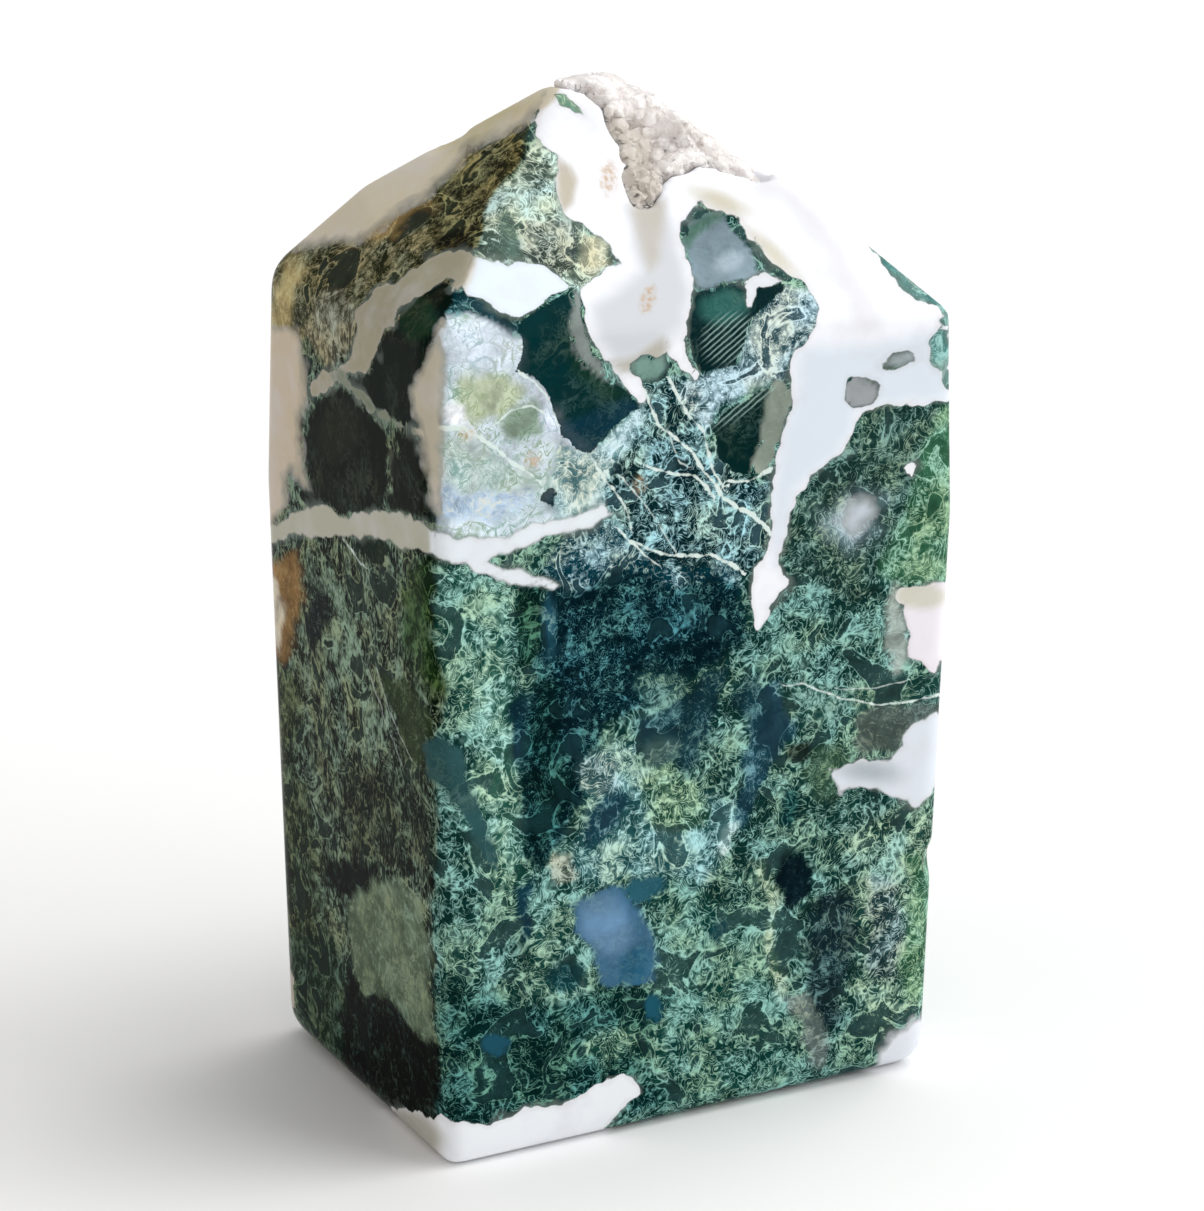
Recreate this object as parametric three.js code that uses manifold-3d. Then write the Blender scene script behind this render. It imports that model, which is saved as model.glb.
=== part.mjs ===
// A hand-polished tower of moss agate: a four-sided column under a low roof of four facets, with
// every corner worn round, and a hollow across the right-hand ridge that quartz crystals line.
// Millimetres, +Z up. The broad front face looks towards -Y and the narrow left face towards -X.

import * as THREE from 'three';
import Module from 'manifold-3d';
import { ConvexGeometry } from 'three/addons/geometries/ConvexGeometry.js';
import { MeshSurfaceSampler } from 'three/addons/math/MeshSurfaceSampler.js';
import { mergeVertices } from 'three/addons/utils/BufferGeometryUtils.js';

const wasm = await Module();
wasm.setup();

// Driving dimensions of the cut block, before its corners were worn round
const BASE_WIDTH = 52.6;
const BASE_DEPTH = 37.6;
const SHOULDER_WIDTH = 54.6;
const SHOULDER_DEPTH = 37.0;
const SHOULDER_HEIGHT = { frontLeft: 82, frontRight: 76.5, backRight: 77.5, backLeft: 79 };
const ROOF_HEIGHT = 100;
const ROOF_LEFT = -3.8;
const ROOF_RIGHT = 0.4;

// Radius that polishing gave each corner
const WEAR = {
  frontLeftBase: 1.6,
  frontRightBase: 3.0,
  backRightBase: 2.4,
  backLeftBase: 3.8,
  frontLeftShoulder: 2.2,
  frontRightShoulder: 1.0,
  backRightShoulder: 2.0,
  backLeftShoulder: 4.0,
  roofLeft: 3.6,
  roofRight: 2.4,
};

// Sides of the balls that round the corners, a multiple of four so that they touch the flat faces
const BALL_SIDES = 24;

// How far the hand-polished column swells at two heights, and the two longest ridges at one place
const COLUMN_SWELL = [{ at: 0.36, out: 0.3 }, { at: 0.74, out: 0.6 }];
const RIDGE_SWELL = [
  { from: 'backLeftShoulder', to: 'roofLeft', at: 0.34, out: 1.3 },
  { from: 'frontRightShoulder', to: 'roofRight', at: 0.45, out: 0.9 },
];
const RIDGE_SWELL_RISE = 2;

// Bruises in the polish: centre, half sizes
const BRUISES = [
  { name: 'notch in the right front edge', centre: [28.7, -20.3, 21.4], half: [4.2, 4.2, 3.2] },
  { name: 'dent in the left back ridge', centre: [-15.2, 7.2, 95.2], half: [5.2, 3.6, 4.2] },
];
const BRUISE_DETAIL = 3;

// The hollow: round lobes, each by a point in plan on the roof, its facets, its half width and depth
const LOBES = [
  { x: 1.1, y: -4.4, faces: ['roofFront'], half: 3.1, depth: 3.0 },
  { x: 1.3, y: -6.7, faces: ['roofFront'], half: 2.9, depth: 3.4 },
  { x: -0.3, y: -8.5, faces: ['roofFront'], half: 2.0, depth: 2.8 },
  { x: -1.0, y: -9.6, faces: ['roofFront'], half: 1.3, depth: 2.0 },
  { x: 3.6, y: -5.8, faces: ['roofFront'], half: 3.6, depth: 3.8 },
  { x: 6.8, y: -5.6, faces: ['roofFront'], half: 3.2, depth: 3.2 },
  { x: 9.8, y: -6.6, faces: ['roofFront', 'roofRight'], half: 2.6, depth: 2.8 },
  { x: 11.9, y: -7.6, faces: ['roofFront', 'roofRight'], half: 1.9, depth: 2.2 },
  { x: -2.4, y: 0.9, faces: ['roofFront', 'roofBack'], half: 2.5, depth: 2.8 },
  { x: 0.1, y: -1.5, faces: ['roofFront', 'roofBack'], half: 2.8, depth: 3.2 },
  { x: 1.6, y: 0.6, faces: ['roofFront', 'roofBack', 'roofRight'], half: 4.4, depth: 3.6 },
  { x: 5.2, y: -2.4, faces: ['roofFront', 'roofRight'], half: 4.4, depth: 3.6 },
  { x: 9.0, y: -4.6, faces: ['roofFront', 'roofRight'], half: 4.0, depth: 3.5 },
  { x: 9.4, y: -1.6, faces: ['roofRight'], half: 4.2, depth: 3.4 },
  { x: 6.8, y: 2.6, faces: ['roofRight'], half: 3.8, depth: 3.2 },
  { x: 1.0, y: 3.2, faces: ['roofBack'], half: 3.2, depth: 3.0 },
  { x: 12.3, y: -4.3, faces: ['roofRight'], half: 2.9, depth: 2.7 },
];
const LOBE_DETAIL = { small: 2, large: 3, largeFrom: 3 };

// The crust: its clearance from the stone, how far its bed lies under the roof, and its crystals
const CRUST_GAP = 0.3;
const BED_SINK = 1.0;
const CREST_RISE = 0.6;
const VALLEY = { lobes: [0, 1, 4], wall: 1.2 };
const CRYSTAL_COUNT = 115;
const CRYSTAL_SPACING = 1.5;
const CRYSTAL_RADIUS = { least: 0.75, most: 1.3 };
const CRYSTAL_STEM = 0.55;
const CRYSTAL_TIP_SLOPE = 1.15;
const CRYSTAL_ROOT = 0.9;
const CRYSTAL_LEAN = 0.34;
const CRYSTAL_SEED = 41;
const OPEN_MARGIN = 0.2;
const TRIES_PER_CRYSTAL = 60;

const halfBaseX = BASE_WIDTH / 2;
const halfBaseY = BASE_DEPTH / 2;
const halfShoulderX = SHOULDER_WIDTH / 2;
const halfShoulderY = SHOULDER_DEPTH / 2;

const CORNERS = {
  frontLeftBase: new THREE.Vector3(-halfBaseX, -halfBaseY, 0),
  frontRightBase: new THREE.Vector3(halfBaseX, -halfBaseY, 0),
  backRightBase: new THREE.Vector3(halfBaseX, halfBaseY, 0),
  backLeftBase: new THREE.Vector3(-halfBaseX, halfBaseY, 0),
  frontLeftShoulder: new THREE.Vector3(-halfShoulderX, -halfShoulderY, SHOULDER_HEIGHT.frontLeft),
  frontRightShoulder: new THREE.Vector3(halfShoulderX, -halfShoulderY, SHOULDER_HEIGHT.frontRight),
  backRightShoulder: new THREE.Vector3(halfShoulderX, halfShoulderY, SHOULDER_HEIGHT.backRight),
  backLeftShoulder: new THREE.Vector3(-halfShoulderX, halfShoulderY, SHOULDER_HEIGHT.backLeft),
  roofLeft: new THREE.Vector3(ROOF_LEFT, 0, ROOF_HEIGHT),
  roofRight: new THREE.Vector3(ROOF_RIGHT, 0, ROOF_HEIGHT),
};

// Each face is fixed by three of its corners, taken counter-clockwise from outside
const FACES = {
  base: ['frontLeftBase', 'backLeftBase', 'backRightBase', 'frontRightBase'],
  front: ['frontLeftBase', 'frontRightBase', 'frontRightShoulder', 'frontLeftShoulder'],
  right: ['frontRightBase', 'backRightBase', 'backRightShoulder', 'frontRightShoulder'],
  back: ['backRightBase', 'backLeftBase', 'backLeftShoulder', 'backRightShoulder'],
  left: ['backLeftBase', 'frontLeftBase', 'frontLeftShoulder', 'backLeftShoulder'],
  roofFront: ['frontLeftShoulder', 'frontRightShoulder', 'roofRight', 'roofLeft'],
  roofRight: ['frontRightShoulder', 'backRightShoulder', 'roofRight'],
  roofBack: ['backRightShoulder', 'backLeftShoulder', 'roofLeft', 'roofRight'],
  roofLeft: ['backLeftShoulder', 'frontLeftShoulder', 'roofLeft'],
};

const planes = Object.fromEntries(
  Object.entries(FACES).map(([name, [a, b, c]]) => [
    name,
    new THREE.Plane().setFromCoplanarPoints(CORNERS[a], CORNERS[b], CORNERS[c]),
  ])
);

// A small repeatable random generator, uniform from 0 to 1
function seededRandom(seed) {
  let state = seed;
  return () => {
    state = (state + 0x6d2b79f5) | 0;
    let t = Math.imul(state ^ (state >>> 15), 1 | state);
    t = (t + Math.imul(t ^ (t >>> 7), 61 | t)) ^ t;
    return ((t ^ (t >>> 14)) >>> 0) / 4294967296;
  };
}

function toSolid(geometry) {
  const bare = geometry.clone();
  bare.deleteAttribute('normal');
  bare.deleteAttribute('uv');
  const merged = mergeVertices(bare, 1e-5);
  return new wasm.Manifold(
    new wasm.Mesh({
      numProp: 3,
      vertProperties: new Float32Array(merged.attributes.position.array),
      triVerts: new Uint32Array(merged.index.array),
    })
  );
}

function toGeometry(solid) {
  const mesh = solid.getMesh();
  const geometry = new THREE.BufferGeometry();
  geometry.setAttribute('position', new THREE.BufferAttribute(mesh.vertProperties, mesh.numProp));
  geometry.setIndex(new THREE.BufferAttribute(mesh.triVerts, 1));
  geometry.computeVertexNormals();
  return geometry;
}

const joined = (solids) => solids.reduce((sum, next) => sum.add(next));

// Where a ball of this radius sits when it touches all the faces that meet at a corner
function ballSeat(name, radius) {
  const touching = Object.keys(FACES).filter((face) => FACES[face].includes(name));
  const squares = new Array(9).fill(0);
  const inward = new THREE.Vector3();
  for (const face of touching) {
    const row = planes[face].normal.toArray();
    row.forEach((u, i) => row.forEach((v, j) => (squares[3 * i + j] += u * v)));
    inward.sub(planes[face].normal);
  }
  inward.applyMatrix3(new THREE.Matrix3().set(...squares).invert());
  return CORNERS[name].clone().addScaledVector(inward, radius);
}

// The balls that fill the worn corners, with the swell of the column and of the ridges between them
function wornBalls() {
  const balls = Object.entries(WEAR).map(([name, radius]) => {
    return { name, radius, centre: ballSeat(name, radius) };
  });
  const find = (name) => balls.find((ball) => ball.name === name);
  const between = (from, to, at, out) => ({
    radius: THREE.MathUtils.lerp(find(from).radius, find(to).radius, at),
    centre: find(from).centre.clone().lerp(find(to).centre, at).add(out),
  });
  const swells = [];
  for (const corner of ['frontLeft', 'frontRight', 'backRight', 'backLeft']) {
    const { x, y } = CORNERS[`${corner}Base`];
    for (const { at, out } of COLUMN_SWELL) {
      const push = new THREE.Vector3(Math.sign(x) * out, Math.sign(y) * out, 0);
      swells.push(between(`${corner}Base`, `${corner}Shoulder`, at, push));
    }
  }
  for (const { from, to, at, out } of RIDGE_SWELL) {
    const { x, y } = CORNERS[from];
    const push = new THREE.Vector3(Math.sign(x), Math.sign(y), RIDGE_SWELL_RISE).setLength(out);
    swells.push(between(from, to, at, push));
  }
  return [...balls, ...swells];
}

function wornBlock() {
  const points = [];
  for (const { radius, centre } of wornBalls()) {
    const ball = new THREE.SphereGeometry(radius, BALL_SIDES, BALL_SIDES / 2).rotateX(Math.PI / 2);
    ball.translate(centre.x, centre.y, centre.z);
    const spots = ball.attributes.position;
    for (let i = 0; i < spots.count; i++) {
      points.push(new THREE.Vector3().fromBufferAttribute(spots, i));
    }
  }
  return toSolid(new ConvexGeometry(points));
}

// The block with sharp corners, its roof lowered by sink along each facet's normal
function sharpBlock(sink) {
  const roof = ['roofFront', 'roofRight', 'roofBack', 'roofLeft'];
  const points = Object.entries(CORNERS).map(([name, corner]) => {
    const drops = roof
      .filter((face) => FACES[face].includes(name))
      .map((face) => sink / planes[face].normal.z);
    const drop = drops.length ? drops.reduce((sum, next) => sum + next) / drops.length : 0;
    return corner.clone().setZ(corner.z - drop);
  });
  return toSolid(new ConvexGeometry(points));
}

function bruise({ centre, half }) {
  return toSolid(new THREE.IcosahedronGeometry(1, BRUISE_DETAIL).scale(...half).translate(...centre));
}

// Height of a roof facet over a point in plan
function facetHeight(face, x, y) {
  const { normal, constant } = planes[face];
  return -(normal.x * x + normal.y * y + constant) / normal.z;
}

// The ball that cuts one lobe: it meets the roof in a circle of the given half width, at the depth
function lobeBall({ x, y, faces, half, depth }) {
  const z = Math.min(...faces.map((face) => facetHeight(face, x, y)));
  const out = new THREE.Vector3();
  faces.forEach((face) => out.add(planes[face].normal));
  out.normalize();
  const radius = (half * half + depth * depth) / (2 * depth);
  const detail = half < LOBE_DETAIL.largeFrom ? LOBE_DETAIL.small : LOBE_DETAIL.large;
  return { radius, detail, centre: new THREE.Vector3(x, y, z).addScaledVector(out, radius - depth) };
}

const lobeBalls = LOBES.map(lobeBall);

function lobeSolid({ centre, radius, detail }, shrink) {
  const ball = new THREE.IcosahedronGeometry(radius - shrink, detail);
  return toSolid(ball.translate(centre.x, centre.y, centre.z));
}

const hollow = (shrink) => joined(lobeBalls.map((ball) => lobeSolid(ball, shrink)));

// The bed that the crystals stand on: level with the roof at the ridge, and sunk in a valley
function crustBed() {
  const valley = joined(VALLEY.lobes.map((i) => lobeSolid(lobeBalls[i], VALLEY.wall)));
  return hollow(CRUST_GAP).intersect(sharpBlock(BED_SINK)).subtract(valley);
}

// A quartz crystal on its root: six prism faces under a six-sided point, axis +Z, bed at z = 0
function crystalGeometry(radius, stem) {
  const profile = [
    new THREE.Vector2(0, -CRYSTAL_ROOT),
    new THREE.Vector2(radius, -CRYSTAL_ROOT),
    new THREE.Vector2(radius, stem),
    new THREE.Vector2(0, stem + radius * CRYSTAL_TIP_SLOPE),
  ];
  return new THREE.LatheGeometry(profile, 6).rotateX(Math.PI / 2);
}

// Whether a point of the bed lies in the open air of the hollow, clear of the hollow's own wall
function isOpen(point) {
  const inset = CRUST_GAP + OPEN_MARGIN;
  return lobeBalls.some(({ centre, radius }) => centre.distanceTo(point) < radius - inset);
}

function crystals(bed) {
  const random = seededRandom(CRYSTAL_SEED);
  const sampler = new MeshSurfaceSampler(new THREE.Mesh(toGeometry(bed).toNonIndexed()));
  sampler.setRandomGenerator(random).build();
  const up = new THREE.Vector3(0, 0, 1);
  const spots = [];
  const solids = [];
  const mostTries = CRYSTAL_COUNT * TRIES_PER_CRYSTAL;
  for (let tries = 0; tries < mostTries && solids.length < CRYSTAL_COUNT; tries++) {
    const spot = new THREE.Vector3();
    const normal = new THREE.Vector3();
    sampler.sample(spot, normal);
    const crowded = spots.some((other) => other.distanceTo(spot) < CRYSTAL_SPACING);
    if (crowded || !isOpen(spot)) continue;
    spots.push(spot);
    const lean = new THREE.Vector3(random() - 0.5, random() - 0.5, random() - 0.5);
    const axis = normal.clone().addScaledVector(lean, 2 * CRYSTAL_LEAN).normalize();
    const radius = THREE.MathUtils.lerp(CRYSTAL_RADIUS.least, CRYSTAL_RADIUS.most, random());
    const geometry = crystalGeometry(radius, CRYSTAL_STEM * random());
    geometry.rotateZ(random() * Math.PI);
    geometry.applyQuaternion(new THREE.Quaternion().setFromUnitVectors(up, axis));
    solids.push(toSolid(geometry.translate(spot.x, spot.y, spot.z)));
  }
  return joined(solids);
}

function stoneSolid() {
  return BRUISES.map(bruise)
    .reduce((stone, dent) => stone.subtract(dent), wornBlock())
    .subtract(hollow(0));
}

function crustSolid() {
  const bed = crustBed();
  return bed.add(crystals(bed)).intersect(hollow(CRUST_GAP)).intersect(sharpBlock(-CREST_RISE));
}

const polishedAgate = new THREE.MeshStandardMaterial({ color: 0x3f6b5c, roughness: 0.12, metalness: 0 });
const drusyQuartz = new THREE.MeshStandardMaterial({ color: 0xe6e3e6, roughness: 0.3, metalness: 0 });

function namedMesh(name, solid, material) {
  const mesh = new THREE.Mesh(toGeometry(solid), material);
  mesh.name = name;
  return mesh;
}

const tower = new THREE.Group();
tower.add(namedMesh('agate_tower', stoneSolid(), polishedAgate));
tower.add(namedMesh('druzy_crust', crustSolid(), drusyQuartz));

export default tower;
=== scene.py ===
"""A hand-polished moss agate tower with a druzy quartz hollow, dressed around its CAD frame.

The stone's markings are drawn as outlines over the reference view, one named area at a time, and each
point of the skin looks up where it lies in that view. The hidden sides take their moss and white veins
from the seen ones: they are folded round the edges and then moved and bent, so that every vein crosses
an edge as it does in real stone, while the hidden sides aren't mirror images.
"""

import logging
import math
from dataclasses import dataclass, field
from enum import Enum

import bmesh
import bpy
import numpy as np
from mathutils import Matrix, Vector, noise
from mathutils.bvhtree import BVHTree
from mathutils.kdtree import KDTree


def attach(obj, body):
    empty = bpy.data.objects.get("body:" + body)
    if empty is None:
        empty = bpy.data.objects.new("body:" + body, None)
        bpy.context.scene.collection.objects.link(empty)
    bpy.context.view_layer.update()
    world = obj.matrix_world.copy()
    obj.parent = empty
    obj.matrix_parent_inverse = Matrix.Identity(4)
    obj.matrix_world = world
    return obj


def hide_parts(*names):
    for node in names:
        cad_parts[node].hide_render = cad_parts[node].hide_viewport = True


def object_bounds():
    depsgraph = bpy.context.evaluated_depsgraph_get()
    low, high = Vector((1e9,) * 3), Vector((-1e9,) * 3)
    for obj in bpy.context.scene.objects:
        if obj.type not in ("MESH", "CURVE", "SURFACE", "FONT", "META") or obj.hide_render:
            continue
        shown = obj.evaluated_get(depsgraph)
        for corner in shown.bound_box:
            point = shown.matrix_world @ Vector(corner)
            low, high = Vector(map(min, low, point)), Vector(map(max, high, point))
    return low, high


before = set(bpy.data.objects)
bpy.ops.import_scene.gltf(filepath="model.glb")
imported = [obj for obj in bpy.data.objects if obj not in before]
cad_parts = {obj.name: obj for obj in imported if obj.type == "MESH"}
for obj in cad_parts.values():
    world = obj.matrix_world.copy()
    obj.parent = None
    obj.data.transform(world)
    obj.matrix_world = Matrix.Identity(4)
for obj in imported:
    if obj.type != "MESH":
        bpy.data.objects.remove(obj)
CAD_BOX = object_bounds()

log = logging.getLogger("tower")
MM = 0.001
BODY = "root"
NOISE_SEED = 11
FIBRE_SETS = 3
TINY = 1e-9

Pixel = tuple[float, float]


def linear(code: str) -> tuple[float, float, float, float]:
    """Turns an sRGB hex colour to linear light.

    Args:
        code: Six hex digits, such as "f4f2ee".

    Returns:
        The colour as linear red, green, blue and an alpha of 1.
    """
    parts = [int(code[i : i + 2], 16) / 255 for i in (0, 2, 4)]
    red, green, blue = (c / 12.92 if c <= 0.04045 else ((c + 0.055) / 1.055) ** 2.4 for c in parts)
    return red, green, blue, 1.0


def smooth(x: np.ndarray, low: float, high: float) -> np.ndarray:
    """Rises smoothly from 0 at low to 1 at high."""
    t = np.clip((x - low) / (high - low), 0, 1)
    return t * t * (3 - 2 * t)


def add(tree: bpy.types.NodeTree, kind: str, links: dict | None = None, **settings) -> bpy.types.Node:
    """Adds a node to a tree with its settings and links.

    Args:
        tree: The material's node tree.
        kind: The node's type name, without its "ShaderNode" start.
        links: For each input, by name or place, a value or the output socket that feeds it.
        **settings: The node's own properties.

    Returns:
        The new node.
    """
    node = tree.nodes.new(f"ShaderNode{kind}")
    for name, value in settings.items():
        setattr(node, name, value)
    for place, value in (links or {}).items():
        if isinstance(value, bpy.types.NodeSocket):
            tree.links.new(value, node.inputs[place])
        else:
            node.inputs[place].default_value = value
    return node


def place(name: str, data: bpy.types.ID) -> bpy.types.Object:
    """Puts a new object in the scene."""
    thing = bpy.data.objects.new(name, data)
    bpy.context.scene.collection.objects.link(thing)
    return thing


@dataclass(frozen=True)
class ReferenceView:
    """The viewpoint of the reference picture, worked out from the tower's own edges.

    Attributes:
        width: Width of the picture, in pixels.
        height: Height of the picture, in pixels.
        focal: Focal length, in pixels.
        azimuth: Turn of the viewpoint round the tower, in degrees, 0 in front.
        elevation: Rise of the viewpoint, in degrees.
        distance: From the viewpoint to the point it looks at.
        aim_across: How far that point lies from the tower's axis, across the view.
        aim_height: How high that point lies.
        clip: Nearest and farthest distance that the camera sees.
    """

    width: int = 1204
    height: int = 1211
    focal: float = 6500.0
    azimuth: float = -27.75
    elevation: float = 20.0
    distance: float = 622 * MM
    aim_across: float = -0.13 * MM
    aim_height: float = 46.1 * MM
    clip: tuple[float, float] = (50 * MM, 20_000 * MM)

    def axes(self) -> tuple[Vector, Vector, Vector]:
        """Gives the view's right, up and back directions."""
        turn, rise = math.radians(self.azimuth), math.radians(self.elevation)
        back = Vector((math.sin(turn) * math.cos(rise), -math.cos(turn) * math.cos(rise), math.sin(rise)))
        right = Vector((math.cos(turn), math.sin(turn), 0))
        return right, back.cross(right), back

    def position(self) -> Vector:
        """Gives the viewpoint."""
        right, _, back = self.axes()
        return right * self.aim_across + Vector((0, 0, self.aim_height)) + back * self.distance

    def pixels(self, points: np.ndarray) -> np.ndarray:
        """Finds where points lie in the picture.

        Args:
            points: Rows of x, y, z.

        Returns:
            Rows of pixels across and down.
        """
        right, up, back = (np.array(axis) for axis in self.axes())
        out = points - np.array(self.position())
        away = -(out @ back)
        across = self.width / 2 + self.focal * (out @ right) / away
        down = self.height / 2 - self.focal * (out @ up) / away
        return np.stack([across, down], axis=1)

    def camera(self) -> bpy.types.Object:
        """Makes the scene's camera at the viewpoint."""
        data = bpy.data.cameras.new("reference_camera")
        data.sensor_width = 36.0
        data.lens = self.focal / max(self.width, self.height) * data.sensor_width
        data.clip_start, data.clip_end = self.clip
        camera = place("reference_camera", data)
        camera.location = self.position()
        camera.rotation_mode = "QUATERNION"
        camera.rotation_quaternion = (-self.axes()[2]).to_track_quat("-Z", "Y")
        bpy.context.scene.camera = camera
        return camera


VIEW = ReferenceView()
PIXELS_PER_MM = VIEW.focal * MM / VIEW.distance


def close_to(ends: np.ndarray, at: np.ndarray, reach: float) -> np.ndarray:
    """Tells which points lie within reach of the box round an outline or a path."""
    return np.all((at > ends.min(0) - reach) & (at < ends.max(0) + reach), axis=1)


def off_run(at: np.ndarray, a: np.ndarray, b: np.ndarray) -> tuple[np.ndarray, np.ndarray]:
    """Measures points from a straight run.

    Args:
        at: Rows of pixels.
        a: Where the run starts.
        b: Where it ends.

    Returns:
        Where along the run each point is nearest to it, from 0 to 1, and how far from it the point lies.
    """
    run = b - a
    along = np.clip((at - a) @ run / max(run @ run, TINY), 0, 1)
    return along, np.linalg.norm(at - a - along[:, None] * run, axis=1)


@dataclass(frozen=True)
class Outline:
    """A closed outline in the reference view, by its corners in pixels."""

    corners: tuple[Pixel, ...]

    def depth(self, at: np.ndarray, reach: float) -> np.ndarray:
        """Measures how deep points lie inside the outline.

        Args:
            at: Rows of pixels.
            reach: Points further outside than this are given as this far outside.

        Returns:
            Pixels inside the outline, negative outside.
        """
        ends = np.array(self.corners, float)
        found = np.full(len(at), -reach)
        near = close_to(ends, at, reach)
        p = at[near]
        nearest = np.full(len(p), np.inf)
        inside = np.zeros(len(p), bool)
        for a, b in zip(ends, np.roll(ends, -1, axis=0)):
            nearest = np.minimum(nearest, off_run(p, a, b)[1])
            spans = (a[1] > p[:, 1]) != (b[1] > p[:, 1])
            run, drop = b - a
            inside ^= spans & (p[:, 0] < a[0] + (p[:, 1] - a[1]) * run / (drop or TINY))
        found[near] = np.maximum(np.where(inside, nearest, -nearest), -reach)
        return found


@dataclass(frozen=True)
class Oval:
    """An oval in the reference view: its middle, half sizes and tilt, in pixels and degrees."""

    across: float
    down: float
    half_width: float
    half_height: float
    tilt: float = 0.0

    def depth(self, at: np.ndarray, reach: float) -> np.ndarray:
        """Measures how deep points lie inside the oval, as Outline.depth does."""
        turn = math.radians(self.tilt)
        out = at - np.array([self.across, self.down])
        u = (out[:, 0] * math.cos(turn) + out[:, 1] * math.sin(turn)) / self.half_width
        v = (out[:, 1] * math.cos(turn) - out[:, 0] * math.sin(turn)) / self.half_height
        return np.maximum((1 - np.hypot(u, v)) * min(self.half_width, self.half_height), -reach)


@dataclass(frozen=True)
class Thread:
    """A thin fibre in the reference view: its path in pixels, and its half width at each end."""

    path: tuple[Pixel, ...]
    start: float
    end: float

    def half(self, runs: np.ndarray) -> np.ndarray:
        """Gives the half width at places along the path, which are counted in runs from its start."""
        return self.start + (self.end - self.start) * runs / (len(self.path) - 1)

    def depth(self, at: np.ndarray, reach: float) -> np.ndarray:
        """Measures how deep points lie inside the fibre, as Outline.depth does."""
        ends = np.array(self.path, float)
        best = np.full(len(at), -reach)
        near = close_to(ends, at, reach)
        for i, (a, b) in enumerate(zip(ends[:-1], ends[1:])):
            along, away = off_run(at[near], a, b)
            best[near] = np.maximum(best[near], self.half(i + along) - away)
        return best

    def sides(self, at: np.ndarray) -> tuple[np.ndarray, np.ndarray]:
        """Measures how far points lie to either side of the fibre.

        Args:
            at: Rows of pixels.

        Returns:
            Pixels from the fibre's middle, negative on one side, and its half width there.
        """
        ends = np.array(self.path, float)
        nearest = np.full(len(at), np.inf)
        side_of, half = np.full(len(at), np.inf), np.zeros(len(at))
        for i, (a, b) in enumerate(zip(ends[:-1], ends[1:])):
            along, away = off_run(at, a, b)
            closer = away < nearest
            run, out = b - a, at - a
            sign = np.where(run[0] * out[:, 1] - run[1] * out[:, 0] < 0, -1.0, 1.0)
            nearest[closer] = away[closer]
            side_of[closer] = (away * sign)[closer]
            half[closer] = self.half(i + along)[closer]
        return side_of, half


class Layer(Enum):
    """What an area of the pattern is made of, from the deepest to the one that lies over all."""

    MOSS = "moss"
    POCKET = "pocket"
    VEIN = "vein"
    GAP = "gap"
    FIBRE = "fibre"
    STAIN = "stain"
    HATCH = "hatch"


@dataclass(frozen=True)
class Moss:
    """A growth of mossy threads in clear chalcedony.

    Attributes:
        ground: Colour between the threads.
        thread: Colour of the threads.
        growth: How much of the ground they cover, from 0 to 1.
        fine: 0 for loose curls, 1 for a fine felt.
        streak: 0 for threads every way, 1 for upright ones.
    """

    ground: str
    thread: str
    growth: float
    fine: float = 0.0
    streak: float = 0.0


@dataclass(frozen=True)
class Area:
    """One named area of the pattern.

    Attributes:
        name: What it is.
        shape: Where it lies in the reference view.
        fill: The growth or the colour in it.
        soft: Width of its edge, in pixels.
        spread: How far its colour runs on under the edge, in pixels, so that a crisp edge shows it pure.
        blur: Half the width that a pocket's or a vein's own edge fades over, in pixels.
        once: Whether it is kept to the sides that the reference view shows.
    """

    name: str
    shape: Outline | Oval | Thread
    fill: Moss | str = ""
    soft: float = 6.0
    spread: float = 0.0
    blur: float = 0.5
    once: bool = False


SNOW = "f3f5fa"
LILAC = "cfd3d8"
# A white of the left side, warmed and dimmed partly as painted shade
BEIGE_IN_PAINTED_SHADE = "c9bca6"
INK = "0a2426"

FRONT_GREEN = Moss("0b3430", "a0cec3", 0.33)
BRAIN = Moss("4f6357", "dcf0e8", 0.56)
GREY_BRAIN = Moss("3c4a42", "d0dad2", 0.38)
CENTRE_TEAL = Moss("03272c", "c0ecf2", 0.31, 0.15)
DEEP_TEAL = Moss("001c25", "62a4ae", 0.1, 1.0)
PEPPER = Moss("244d56", "dcf0f8", 0.52, 0.7)
FROST = Moss("5a8589", "e0f0f3", 0.6, 0.3)
SAGE = Moss("17483f", "b4e0d2", 0.4, 0.1)
PALE_SAGE = Moss("245658", "c0e8e6", 0.46, 0.1)
LEAF = Moss("2c5c43", "aad2b8", 0.42)
LIME = Moss("1f4a3c", "b6dec8", 0.37)
SLATE = Moss("10323b", "6a9496", 0.22, 0.5)
NAVY = Moss("183e4b", "7fa8b0", 0.16, 0.3)
SLATE_GREEN = Moss("14332e", "92b4a8", 0.24)
CLEAR_GREY = Moss("46544f", "808f8a", 0.12)
# The left side's moss: its own dark tones, darkened further with painted shade of the dimly lit left side
FELT_IN_PAINTED_SHADE = Moss("020f07", "8b9f8a", 0.36, 0.1, 1.0)
OLIVE_IN_PAINTED_SHADE = Moss("0a2409", "587449", 0.34, 0.3, 0.7)
GREY_IN_PAINTED_SHADE = Moss("0b1811", "76846f", 0.2, 0.2, 1.0)
BROWN_IN_PAINTED_SHADE = Moss("1f2010", "a09a70", 0.38, 0.2, 0.2)
ROOF_MOSS_IN_PAINTED_SHADE = Moss("23280f", "a8a284", 0.38, 0.1, 0.2)
NIGHT_IN_PAINTED_SHADE = Moss("000301", "384a42", 0.1, 0.4, 0.8)

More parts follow.
